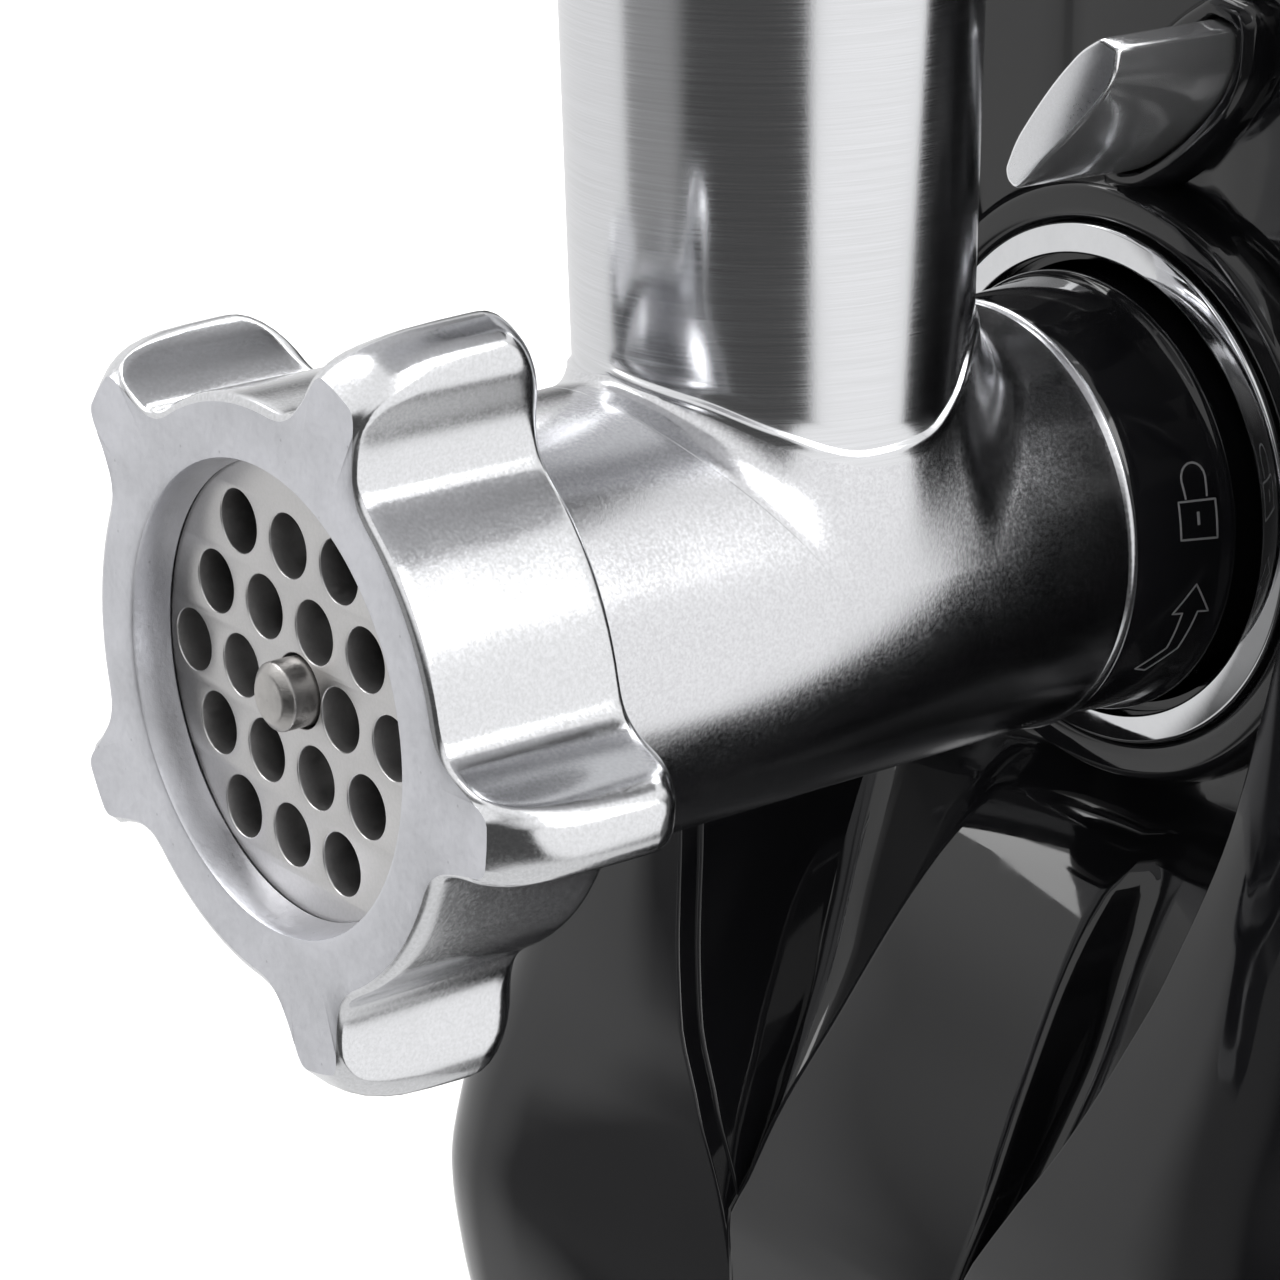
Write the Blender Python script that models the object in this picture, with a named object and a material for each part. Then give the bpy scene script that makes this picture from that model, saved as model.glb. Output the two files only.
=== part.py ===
"""Electric meat grinder: cast head with screw feed, hopper tray, geared motor and two-shell housing.

Every piece hangs from one empty that sits on the head's axis, in the plane of the ring nut's front
face. Sizes are in millimetres in that frame: x to the right, y back along the head, z up.
"""

from math import atan2, copysign, cos, hypot, pi, radians, sin, sqrt, tau

import bmesh
import bpy

MM = 0.001
GAP = 0.3

# The whole machine
AXIS_HEIGHT = 155.0
NUT_FRONT = -130.5
FOOT_BOTTOM = -AXIS_HEIGHT

# Ring nut and cutting set
NUT_R = 31.8
NUT_DEPTH = 22.5
NUT_OPENING_R = 25.0
NUT_LIP = 4.3
NUT_BORE_R = 29.9
LUG_COUNT = 5
LUG_FIRST_DEG = -6.0
LUG_TIP_R = 44.4
LUG_TIP_HALF_DEG = 4.6
LUG_ROOT_HALF_DEG = 16.0
# Share of a lug's height, and what comes off the plain body's radius, by depth
LUG_DEPTHS = ((0.0, 0.62, 0.8), (1.2, 0.75, 0.0), (6.5, 0.94, 0.0), (11.0, 1.0, 0.0), (17.5, 1.0, 0.0),
              (21.4, 0.72, 0.0), (22.5, 0.38, 1.0))
PLATE_FRONT = 4.6
PLATE_DEPTH = 5.5
PLATE_R = 26.8
PLATE_HOLE_R = 3.4
PLATE_PITCH = 9.2
PLATE_ROWS = (3, 4, 5, 4, 3)
PLATE_SHIFT = (-1.65, -0.6)
PLATE_TURN_DEG = -2.5
PIN_R = 3.7
PIN_FRONT = 0.9
KNIFE_FRONT = 10.6
KNIFE_DEPTH = 4.4
KNIFE_REACH = 24.0
KNIFE_BORE_R = 7.0
SQUARE_HALF = 4.4

# Head casting
BARREL_R = 24.75
BARREL_BORE_R = 21.5
BARREL_REAR = 98.6
FLANGE_R = 29.4
FLANGE_FRONT = 5.2
FLANGE_REAR = 20.5
PLATE_SEAT_R = 27.1
PLATE_SEAT_REAR = 15.6
SPIGOT_R = 22.0
SPIGOT_REAR = 118.0
BORE_END = 95.0
BUSH_R = 10.2
FEED_Y = 67.0
FEED_R = 22.5
FEED_TAPER = 0.02
FEED_TOP = 112.0
FEED_BORE_R = 19.3
FEED_COLLAR_DEPTH = 12.0
FEED_COLLAR_R = 24.6

# Auger
SCREW_R = 21.0
SCREW_CORE_FRONT_R = 10.5
SCREW_CORE_REAR_R = 8.0
SCREW_FRONT = 16.4
SCREW_REAR = 91.5
SCREW_PITCH = 27.0
JOURNAL_R = 9.8
JOURNAL_REAR = 117.0
HEX_FLATS = 12.0
HEX_REAR = 133.0

# Hopper and pusher
TRAY_FRONT = -15.0
TRAY_REAR = 111.0
TRAY_HALF_WIDTH = 95.0
TRAY_SQUARENESS = 4.6
TRAY_FLOOR = 112.4
TRAY_RIM = 137.0
TRAY_WALL = 2.0
TRAY_FLARE = 6.0
PUSHER_R = 18.6
PUSHER_BOTTOM = 30.0
PUSHER_FLANGE_R = 27.0
PUSHER_TOP = 176.0

# Head socket
SLEEVE_FRONT = 98.9
SLEEVE_FRONT_R = 24.4
SLEEVE_R = 25.9
SLEEVE_RIM = 112.6
SLEEVE_REAR = 134.0
SLEEVE_BORE_R = 22.4
SOCKET_R = 26.3
SOCKET_FRONT = 116.0
SOCKET_FLANGE_R = 35.5
SOCKET_WALL_R = 30.0
SOCKET_FLOOR = 138.0
SOCKET_REAR = 141.0
CHROME_INNER_R = 27.4
CHROME_OUTER_R = 31.0
CHROME_FRONT = 114.6

# Housing: half width, front line and creases by height above the axis
COVER_BOTTOM = -146.7
COVER_TOP = 96.0
COVER_WALL = 2.4
SPLIT_Y = 165.0
BACK_Y = 276.0
SOCKET_FACE_Y = 121.0
BASE_PLATE_TOP = -147.0
BASE_PLATE_BOTTOM = -150.0
CORNER_R = 18.0
BACK_CORNER_R = 30.0
TOP_ROUND = 26.0

# Gear train: teeth and modules from the motor pinion to the output gear
PINION_TEETH = 12
FIRST_TEETH = 60
FIRST_MODULE = 1.0
STEP_TEETH = 14
WHEEL_TEETH = 56
SECOND_MODULE = 1.25
OUTPUT_MODULE = 1.5
OUTPUT_AXIS = (0.0, 0.0)
SECOND_AXIS = (18.0, -49.32)
FIRST_AXIS = (18.0, -93.07)
MOTOR_AXIS = (-13.18, -75.07)
OUTPUT_PLANE = (150.0, 160.0)
SECOND_PLANE = (163.0, 170.0)
FIRST_PLANE = (173.0, 178.0)
GEARBOX_FRONT = 142.0
GEARBOX_SEAM = 146.0
GEARBOX_REAR = 185.0
GEARBOX_WALL = 3.0
OUTPUT_SHAFT_R = 9.5
DRIVE_BORE_R = 7.3
DRIVE_MOUTH = 122.0
PIVOT_R = 3.0

# Motor
ROTOR_R = 17.5
CORE_FRONT = 203.0
CORE_REAR = 237.0
STATOR_R = 34.0
STATOR_BORE_R = 27.0
MOTOR_SHAFT_R = 4.0
FAN_R = 30.0
COIL_SPAN_DEG = 124.0

# Controls
BUTTON_CENTRE = (8.5, 47.6)
BUTTON_HALF_LENGTH = 13.4
BUTTON_HALF_WIDTH = 5.6
BUTTON_TILT_DEG = 46.0
BUTTON_FRONT = 102.0
PANEL_Y = (190.0, 246.0)
PANEL_Z = (-24.0, 28.0)
PANEL_FACE_X = 74.0
ROCKER_Z = 12.0
REVERSE_Z = -12.0
CONTROL_Y = 218.0
INLET_Z = -118.0
INLET_HALF_WIDTH = 15.0
INLET_HALF_HEIGHT = 10.0


def circle(radius, count, y, start=0.0, centre=(0.0, 0.0)):
    """A ring of points round the y direction."""
    angles = [start + tau * i / count for i in range(count)]
    return [(centre[0] + radius * cos(a), y, centre[1] + radius * sin(a)) for a in angles]


def level_circle(radius, count, z, centre=(0.0, 0.0)):
    """A ring of points round the z direction."""
    angles = [tau * i / count for i in range(count)]
    return [(centre[0] + radius * cos(a), centre[1] + radius * sin(a), z) for a in angles]


def between(table, z):
    """Linear reading of a table of (height, value) pairs."""
    for (low, a), (high, b) in zip(table, table[1:]):
        if z <= high:
            share = max(0.0, (z - low) / (high - low))
            return a + (b - a) * share
    return table[-1][1]


def material(name, color, roughness, metallic):
    made = bpy.data.materials.new(name)
    made.use_nodes = True
    shader = made.node_tree.nodes["Principled BSDF"]
    shader.inputs["Base Color"].default_value = (*color, 1.0)
    shader.inputs["Roughness"].default_value = roughness
    shader.inputs["Metallic"].default_value = metallic
    return made


def finish(name, shape, look, at=(0.0, 0.0, 0.0), smooth_deg=35.0):
    """Turns a bmesh in millimetres, modelled about the point at, into a placed object."""
    bmesh.ops.recalc_face_normals(shape, faces=shape.faces)
    bmesh.ops.scale(shape, vec=(MM, MM, MM), verts=shape.verts)
    mesh = bpy.data.meshes.new(name)
    shape.to_mesh(mesh)
    shape.free()
    mesh.shade_smooth()
    mesh.set_sharp_from_angle(angle=radians(smooth_deg))
    mesh.materials.append(material(name, *look))
    piece = bpy.data.objects.new(name, mesh)
    piece.location = [c * MM for c in at]
    piece.parent = HEAD_AXIS
    bpy.context.scene.collection.objects.link(piece)
    return piece


def loops_bmesh(loops, closed=False):
    """Skin over rings of equal length; a ring of one point is a pole, open ends are capped."""
    shape = bmesh.new()
    rings = [[shape.verts.new(p) for p in ring] for ring in loops]
    pairs = list(zip(rings, rings[1:]))
    if closed:
        pairs.append((rings[-1], rings[0]))
    for a, b in pairs:
        count = max(len(a), len(b))
        for i in range(count):
            j = (i + 1) % count
            corners = [a[i % len(a)], a[j % len(a)], b[j % len(b)], b[i % len(b)]]
            shape.faces.new(list(dict.fromkeys(corners)))
    if not closed:
        for ring in (rings[0], rings[-1]):
            if len(ring) > 1:
                shape.faces.new(ring)
    return shape


def skin(name, loops, look, closed=False, at=(0.0, 0.0, 0.0)):
    return finish(name, loops_bmesh(loops, closed), look, at)


def turned(name, profile, look, count=32, at=(0.0, 0.0, 0.0), closed=False):
    """A lathe piece about the y direction from (y, radius) pairs."""
    loops = [circle(r, count, y) if r else [(0.0, y, 0.0)] for y, r in profile]
    return skin(name, loops, look, closed, at)


def ring_piece(name, inner, outer, front, rear, look, count=32, at=(0.0, 0.0, 0.0)):
    profile = ((front, inner), (front, outer), (rear, outer), (rear, inner))
    return turned(name, profile, look, count, at, closed=True)


def prism(outline, front, rear):
    """The (x, z) outline carried from front to rear along y."""
    return [[(x, y, z) for x, z in outline] for y in (front, rear)]


def box_loops(low, high):
    (x0, y0, z0), (x1, y1, z1) = low, high
    return prism(((x0, z0), (x1, z0), (x1, z1), (x0, z1)), y0, y1)


def block(name, low, high, look, bevel=0.0):
    shape = loops_bmesh(box_loops(low, high))
    if bevel:
        bmesh.ops.bevel(shape, geom=shape.edges[:], offset=bevel, segments=2, affect="EDGES")
    return finish(name, shape, look)


def cutter(name, shape):
    piece = finish(name, shape, BLACK_PLASTIC)
    piece.hide_render = True
    piece.display_type = "WIRE"
    return piece


def cut(piece, tool, operation="DIFFERENCE"):
    step = piece.modifiers.new(tool.name, "BOOLEAN")
    step.operation = operation
    step.solver = "EXACT"
    step.object = tool


def boxes_bmesh(boxes):
    shape = bmesh.new()
    for low, high in boxes:
        part = loops_bmesh(box_loops(low, high))
        mesh = bpy.data.meshes.new("box")
        part.to_mesh(mesh)
        part.free()
        shape.from_mesh(mesh)
        bpy.data.meshes.remove(mesh)
    return shape


# ---------------------------------------------------------------- finishes

CAST_ALUMINIUM = ((0.74, 0.75, 0.78), 0.28, 1.0)
POLISHED = ((0.82, 0.82, 0.84), 0.12, 1.0)
STEEL = ((0.62, 0.61, 0.61), 0.3, 1.0)
CHROME = ((0.85, 0.86, 0.88), 0.05, 1.0)
GLOSS_BLACK = ((0.012, 0.012, 0.014), 0.08, 0.0)
BLACK_PLASTIC = ((0.02, 0.02, 0.022), 0.4, 0.0)
RUBBER = ((0.03, 0.03, 0.03), 0.8, 0.0)
NYLON = ((0.85, 0.84, 0.78), 0.5, 0.0)
COPPER = ((0.72, 0.35, 0.18), 0.35, 1.0)
LAMINATION = ((0.25, 0.25, 0.27), 0.5, 1.0)
BOARD_GREEN = ((0.03, 0.2, 0.08), 0.5, 0.0)


# ---------------------------------------------------------------- head

def lug_radius(angle_deg):
    """Radius of the ring nut's outline: round, with evenly spaced grip lugs."""
    spacing = 360.0 / LUG_COUNT
    away = abs((angle_deg - LUG_FIRST_DEG + spacing / 2) % spacing - spacing / 2)
    if away <= LUG_TIP_HALF_DEG:
        return LUG_TIP_R * cos(radians(LUG_TIP_HALF_DEG)) / cos(radians(away))
    if away >= LUG_ROOT_HALF_DEG:
        return NUT_R
    share = (away - LUG_TIP_HALF_DEG) / (LUG_ROOT_HALF_DEG - LUG_TIP_HALF_DEG)
    return NUT_R + (LUG_TIP_R - NUT_R) * (1 - share) ** 2.2


def nut_angles():
    """Samples that fall on each lug's corners and are sparse between the lugs."""
    steps = (-36.0, -26.0, -16.0, -13.0, -10.0, -8.2, -6.4, -LUG_TIP_HALF_DEG, 0.0, LUG_TIP_HALF_DEG, 6.4, 8.2,
             10.0, 13.0, 16.0, 26.0)
    spacing = 360.0 / LUG_COUNT
    return [LUG_FIRST_DEG + k * spacing + s for k in range(LUG_COUNT) for s in steps]


def ring_nut():
    angles = nut_angles()

    def ring(radius_of, y):
        return [(radius_of(a) * cos(radians(a)), y, radius_of(a) * sin(radians(a))) for a in angles]

    def outside(y, share, off):
        return ring(lambda a: NUT_R - off + (lug_radius(a) - NUT_R) * share, y)

    loops = [ring(lambda a: NUT_OPENING_R, 0.0)]
    loops += [outside(y, share, off) for y, share, off in LUG_DEPTHS]
    loops += [
        ring(lambda a: NUT_BORE_R, NUT_DEPTH),
        ring(lambda a: NUT_BORE_R, NUT_LIP),
        ring(lambda a: NUT_OPENING_R, NUT_LIP),
    ]
    skin("ring_nut", loops, CAST_ALUMINIUM, closed=True)


def plate_hole_centres():
    """A hexagonal pattern with no hole in the middle, where the auger's pin passes."""
    row_rise = PLATE_PITCH * sqrt(3) / 2
    middle = (len(PLATE_ROWS) - 1) / 2
    turn = radians(PLATE_TURN_DEG)
    for row, count in enumerate(PLATE_ROWS):
        for i in range(count):
            x = (i - (count - 1) / 2) * PLATE_PITCH
            z = (middle - row) * row_rise
            if hypot(x, z) > PLATE_PITCH / 2:
                yield (x * cos(turn) - z * sin(turn) + PLATE_SHIFT[0],
                       x * sin(turn) + z * cos(turn) + PLATE_SHIFT[1])


def cutting_plate():
    rear = PLATE_FRONT + PLATE_DEPTH
    plate = turned("cutting_plate", ((PLATE_FRONT, PIN_R + GAP), (PLATE_FRONT, PLATE_R),
                                     (rear, PLATE_R), (rear, PIN_R + GAP)), STEEL, 40, closed=True)
    shape = bmesh.new()
    for centre in plate_hole_centres():
        rings = [circle(PLATE_HOLE_R, 10, y, centre=centre) for y in (PLATE_FRONT - 2, rear + 2)]
        drill = loops_bmesh(rings)
        mesh = bpy.data.meshes.new("drill")
        drill.to_mesh(mesh)
        drill.free()
        shape.from_mesh(mesh)
        bpy.data.meshes.remove(mesh)
    cut(plate, cutter("plate_drills", shape))


def knife():
    """A four-armed knife; each arm's cutting edge leads its swept back."""
    outline = []
    for arm in range(4):
        turn = tau * arm / 4
        for r, deg in ((8.5, -38.0), (12.0, -20.0), (KNIFE_REACH, -9.0), (KNIFE_REACH, 8.0), (12.0, 14.0)):
            angle = turn + radians(deg)
            outline.append((r * cos(angle), r * sin(angle)))
    hole = [(KNIFE_BORE_R * cos(atan2(z, x)), KNIFE_BORE_R * sin(atan2(z, x))) for x, z in outline]
    rear = KNIFE_FRONT + KNIFE_DEPTH
    loops = [[(x, y, z) for x, z in ring]
             for ring, y in ((hole, KNIFE_FRONT), (outline, KNIFE_FRONT), (outline, rear), (hole, rear))]
    skin("knife", loops, STEEL, closed=True)


def head_casting():
    barrel = turned("head_casting", (
        (FLANGE_FRONT, FLANGE_R), (FLANGE_REAR, FLANGE_R), (FLANGE_REAR + 4.0, BARREL_R),
        (BARREL_REAR, BARREL_R), (BARREL_REAR, SPIGOT_R), (SPIGOT_REAR, SPIGOT_R)), POLISHED, 36)
    feed_foot = 10.0
    tube = [level_circle(FEED_R + FEED_TAPER * (z - 60.0), 32, z, (0.0, FEED_Y))
            for z in (feed_foot, FEED_TOP - FEED_COLLAR_DEPTH)]
    collar = [level_circle(FEED_COLLAR_R, 32, z, (0.0, FEED_Y))
              for z in (FEED_TOP - FEED_COLLAR_DEPTH + 1.5, FEED_TOP)]
    cut(barrel, cutter("feed_tube_form", loops_bmesh(tube + collar)), "UNION")
    bore = [circle(r, 36, y) for y, r in (
        (FLANGE_FRONT - 1, PLATE_SEAT_R), (PLATE_SEAT_REAR, PLATE_SEAT_R), (PLATE_SEAT_REAR, BARREL_BORE_R),
        (BORE_END, BARREL_BORE_R), (BORE_END, BUSH_R), (SPIGOT_REAR + 1, BUSH_R))]
    cut(barrel, cutter("barrel_bore", loops_bmesh(bore)))
    feed_bore = [level_circle(FEED_BORE_R, 32, z, (0.0, FEED_Y)) for z in (1.0, FEED_TOP + 1)]
    cut(barrel, cutter("feed_bore", loops_bmesh(feed_bore)))


def plate_key():
    """The pin that stops the plate turning, standing in the flange's seat wall."""
    half_width = 1.3
    front, rear = PLATE_FRONT + 1.2, PLATE_SEAT_REAR - 6.5
    block("plate_key", (-half_width, front, -PLATE_R - 0.15), (half_width, rear, -PLATE_R - 0.02), STEEL)


def auger():
    """A tapering core with one helical flight, the pin in front and the journal behind."""
    around = 16
    turns = (SCREW_REAR - SCREW_FRONT) / SCREW_PITCH
    rings = int(turns * 14)
    loops = [[(0.0, PIN_FRONT, 0.0)]]
    for y, r in ((PIN_FRONT, PIN_R - 0.9), (PIN_FRONT + 0.9, PIN_R), (KNIFE_FRONT - 0.3, PIN_R)):
        loops.append(circle(r, around, y))
    for y in (KNIFE_FRONT - 0.3, SCREW_FRONT - 0.2):
        ring = []
        for i in range(around):
            a = tau * i / around
            r = SQUARE_HALF / max(abs(cos(a)), abs(sin(a)))
            ring.append((r * cos(a), y, r * sin(a)))
        loops.append(ring)
    for k in range(rings + 1):
        y = SCREW_FRONT + (SCREW_REAR - SCREW_FRONT) * k / rings
        core = SCREW_CORE_FRONT_R + (SCREW_CORE_REAR_R - SCREW_CORE_FRONT_R) * k / rings
        ring = []
        for i in range(around):
            a = tau * i / around
            phase = (y / SCREW_PITCH + a / tau) % 1.0
            lift = max(0.0, 1.0 - abs(phase - 0.5) / 0.16)
            r = core + (SCREW_R - core) * min(1.0, lift * 1.7)
            ring.append((r * cos(a), y, r * sin(a)))
        loops.append(ring)
    for y in (SCREW_REAR + 0.2, JOURNAL_REAR):
        loops.append(circle(JOURNAL_R, around, y))
    loops.append([(0.0, JOURNAL_REAR, 0.0)])
    skin("auger", loops, CAST_ALUMINIUM)
    ring_piece("thrust_washer", JOURNAL_R + 0.3, 15.0, SCREW_REAR + 1.0, BORE_END - 0.6, NYLON)
    hexagon = HEX_FLATS / sqrt(3)
    turned("auger_hex_drive", ((JOURNAL_REAR + GAP, 0.0), (JOURNAL_REAR + GAP, hexagon),
                               (HEX_REAR, hexagon), (HEX_REAR, 0.0)), STEEL, 6)


def soft_rectangle(half_x, half_y, centre_y, z, count=40):
    """A level ring on a superellipse, the outline of a well-rounded tray."""
    ring = []
    for i in range(count):
        a = tau * i / count
        x = copysign(abs(cos(a)) ** (2 / TRAY_SQUARENESS), cos(a))
        y = copysign(abs(sin(a)) ** (2 / TRAY_SQUARENESS), sin(a))
        ring.append((half_x * x, centre_y + half_y * y, z))
    return ring


def tray():
    """The hopper: a shallow flared pan with a neck that fits over the feed tube's collar."""
    floor, wall = TRAY_FLOOR, TRAY_WALL
    middle = (TRAY_FRONT + TRAY_REAR) / 2
    half_y = (TRAY_REAR - TRAY_FRONT) / 2
    neck_low = FEED_TOP - 9.0
    neck_in = FEED_COLLAR_R + 2 * GAP

    def outline(inwards, z):
        return soft_rectangle(TRAY_HALF_WIDTH - inwards, half_y - inwards, middle, z)

    def hole(radius, z):
        count = len(outline(0.0, z))
        angles = [tau * i / count for i in range(count)]
        return [(radius * cos(a), FEED_Y + radius * sin(a), z) for a in angles]

    loops = [
        hole(neck_in + wall, floor), outline(TRAY_FLARE, floor), outline(0.0, TRAY_RIM),
        outline(wall, TRAY_RIM), outline(TRAY_FLARE + wall, floor + wall),
        hole(FEED_BORE_R, floor + wall), hole(FEED_BORE_R, floor), hole(neck_in, floor),
        hole(neck_in, neck_low), hole(neck_in + wall, neck_low),
    ]
    skin("hopper_tray", loops, POLISHED, closed=True)


def pusher():
    """The food pusher: a hollow stem, a flange that stops it on the tray, and a cap on its grip."""
    floor = TRAY_FLOOR + TRAY_WALL + 0.4
    centre = (0.0, FEED_Y)
    outside = ((PUSHER_BOTTOM, PUSHER_R - 1.2), (PUSHER_BOTTOM + 1.5, PUSHER_R), (floor, PUSHER_R),
               (floor, PUSHER_FLANGE_R), (floor + 3.0, PUSHER_FLANGE_R), (floor + 6.0, 19.0),
               (PUSHER_TOP - 22.0, 17.5), (PUSHER_TOP - 6.0, 21.5))
    inside = ((PUSHER_TOP - 6.0, 18.5), (PUSHER_TOP - 22.0, 15.0), (PUSHER_BOTTOM + 2.5, 15.0))
    loops = [[(0.0, FEED_Y, PUSHER_BOTTOM)]]
    loops += [level_circle(r, 24, z, centre) for z, r in outside + inside]
    loops.append([(0.0, FEED_Y, PUSHER_BOTTOM + 2.5)])
    skin("pusher", loops, BLACK_PLASTIC)
    cap = ((PUSHER_TOP - 5.7, 21.5), (PUSHER_TOP - 1.5, 21.0), (PUSHER_TOP, 18.0))
    loops = [level_circle(r, 24, z, centre) for z, r in cap]
    plug = [level_circle(17.0, 24, z, centre) for z in (PUSHER_TOP - 12.0, PUSHER_TOP - 5.7)]
    skin("pusher_cap", plug + loops, BLACK_PLASTIC)


# ---------------------------------------------------------------- socket and lock

def socket_parts():
    turned("lock_sleeve", (
        (SLEEVE_FRONT, SLEEVE_BORE_R), (SLEEVE_FRONT, SLEEVE_FRONT_R), (SLEEVE_RIM - 1.5, SLEEVE_R - 0.5),
        (SLEEVE_RIM, SLEEVE_R), (SLEEVE_REAR, SLEEVE_R), (SLEEVE_REAR, SLEEVE_BORE_R)), GLOSS_BLACK, 36,
        closed=True)
    turned("head_socket", (
        (SOCKET_FRONT + 1.5, CHROME_INNER_R - 1.1), (SOCKET_FRONT + 1.5, CHROME_OUTER_R + 0.4),
        (SOCKET_FRONT, CHROME_OUTER_R + 1.2), (SOCKET_FRONT, SOCKET_FLANGE_R - 1.5),
        (SOCKET_FRONT + 1.5, SOCKET_FLANGE_R), (SOCKET_FACE_Y - GAP, SOCKET_FLANGE_R),
        (SOCKET_FACE_Y - GAP, SOCKET_WALL_R), (SOCKET_REAR, SOCKET_WALL_R),
        (SOCKET_REAR, OUTPUT_SHAFT_R + 0.6), (SOCKET_FLOOR, OUTPUT_SHAFT_R + 0.6),
        (SOCKET_FLOOR, SOCKET_R)), BLACK_PLASTIC, 36, closed=True)
    turned("socket_ring", (
        (SOCKET_FRONT + 1.2, CHROME_INNER_R), (CHROME_FRONT + 0.6, CHROME_INNER_R),
        (CHROME_FRONT, CHROME_INNER_R + 1.0), (CHROME_FRONT + 0.9, CHROME_OUTER_R - 0.8),
        (SOCKET_FRONT + 0.2, CHROME_OUTER_R), (SOCKET_FRONT + 1.2, CHROME_OUTER_R)), CHROME, 36, closed=True)


def leaf(half_length, half_width, tilt_deg, count=8):
    """A lens outline with two pointed ends, tilted from the x direction."""
    sides = []
    for side in (1, -1):
        for i in range(count):
            t = i / count
            along = half_length * (2 * t - 1) * side
            across = side * half_width * sin(pi * t) ** 0.8
            a = radians(tilt_deg)
            sides.append((along * cos(a) - across * sin(a), along * sin(a) + across * cos(a)))
    return sides[::-1]


def shifted(outline, centre):
    return [(x + centre[0], z + centre[1]) for x, z in outline]


def lock_parts():
    """The sprung button over the socket, and the catch that it draws back."""
    face = shifted(leaf(BUTTON_HALF_LENGTH, BUTTON_HALF_WIDTH, BUTTON_TILT_DEG), BUTTON_CENTRE)
    soft = shifted(leaf(BUTTON_HALF_LENGTH - 0.8, BUTTON_HALF_WIDTH - 0.8, BUTTON_TILT_DEG), BUTTON_CENTRE)
    rear = SOCKET_FACE_Y + 12.0
    loops = [[(x, BUTTON_FRONT, z) for x, z in soft], [(x, BUTTON_FRONT + 0.8, z) for x, z in face],
             [(x, rear, z) for x, z in face]]
    skin("lock_button", loops, CHROME)
    x, z = BUTTON_CENTRE
    block("lock_catch", (x - 14.0, rear + GAP, z - 17.0), (x + 8.0, rear + 3.0, z + 6.0), STEEL, 0.5)
    turned("lock_spring", ((rear + 3.3, 3.0), (rear + 3.3, 4.0), (GEARBOX_FRONT - 0.4, 4.0),
                           (GEARBOX_FRONT - 0.4, 3.0)), STEEL, 16, (x + 1.0, 0.0, z), closed=True)


# ---------------------------------------------------------------- housing

HALF_WIDTH = ((-147, 75.0), (-125, 77.0), (-100, 78.0), (-60, 75.5), (0, 70.0), (60, 64.5), (96, 61.0))
CREASE_Y = ((-147, 80.0), (-128, 76.5), (-110, 75.0), (-96, 75.2), (-88, 75.4), (-80, 75.3), (-76, 75.9),
            (-70, 76.9), (-65, 78.6), (-50, 84.0), (-30, 90.0), (0, 98.5), (30, 107.0), (55, 114.0),
            (75, 119.0), (96, 124.0))
CREASE_X = ((-147, 17.0), (-110, 18.0), (-96, 19.0), (-88, 20.8), (-80, 24.0), (-76, 26.2), (-70, 29.9),
            (-60, 35.2), (-50, 39.2), (-40, 42.8), (-20, 47.0), (0, 47.5), (40, 44.5), (96, 36.0))
CHEEK_Y = ((-147, 79.2), (-128, 71.7), (-112, 68.0), (-100, 66.8), (-90, 68.6), (-80, 72.2), (-70, 76.1),
           (-65, 77.8), (-50, 83.2), (-30, 89.2), (0, 97.7), (30, 106.2), (55, 113.2), (75, 118.2), (96, 123.2))
TONGUE_Y = ((-147, 79.6), (-128, 75.6), (-110, 74.3), (-96, 74.7), (-90, 75.1), (-85, 77.5), (-65, 90.0),
            (-38, 105.0), (-36.2, 121.0), (62, 121.0), (96, 126.0))
TONGUE_X = ((-147, 16.0), (-110, 17.0), (-96, 18.0), (-88, 19.2), (-80, 19.0), (-65, 16.5), (-31, 12.0),
            (96, 10.0))
CHANNEL_Y = ((-147, 79.8), (-128, 76.0), (-110, 74.7), (-96, 75.1), (-90, 76.0), (-85, 81.0), (-65, 99.0),
             (-50, 108.0), (-38, 116.0), (-36.2, 121.0), (62, 121.0), (96, 126.0))


def front_half_profile(z):
    """Points (x, y) of the front cover's outside at one height, from the middle to the split."""
    crease_x, crease_y = between(CREASE_X, z), between(CREASE_Y, z)
    tongue_x, tongue_y = between(TONGUE_X, z), between(TONGUE_Y, z)
    channel_y = between(CHANNEL_Y, z)
    cheek_y = between(CHEEK_Y, z)
    width = between(HALF_WIDTH, z)
    span = crease_x - tongue_x
    points = [(0.0, tongue_y), (tongue_x * 0.6, tongue_y + 0.15), (tongue_x, tongue_y + 0.5),
              (tongue_x + 0.14 * span, channel_y), (tongue_x + 0.72 * span, channel_y),
              (crease_x - 0.04 * span, crease_y + 0.04 * (channel_y - crease_y) + 0.2), (crease_x, crease_y)]
    corner_x = width - CORNER_R
    corner_y = cheek_y + CORNER_R
    points.append(((crease_x + corner_x) / 2, (crease_y + cheek_y) / 2))
    for i in range(5):
        a = pi / 2 * i / 4
        points.append((corner_x + CORNER_R * sin(a), corner_y - CORNER_R * cos(a)))
    points.append((width, SPLIT_Y - GAP / 2))
    return points


def back_half_profile(z):
    """Points (x, y) of the rear cover's outside at one height, from the middle to the split."""
    width = between(HALF_WIDTH, z)
    back = BACK_Y - 0.06 * max(0.0, z + 60.0)
    points = [(0.0, back), (width * 0.35, back - 0.3)]
    corner_x, corner_y = width - BACK_CORNER_R, back - BACK_CORNER_R - 0.8
    for i in range(6):
        a = pi / 2 * i / 5
        points.append((corner_x + BACK_CORNER_R * sin(a), corner_y + BACK_CORNER_R * cos(a)))
    points.append((width, SPLIT_Y + GAP / 2))
    return points


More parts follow.
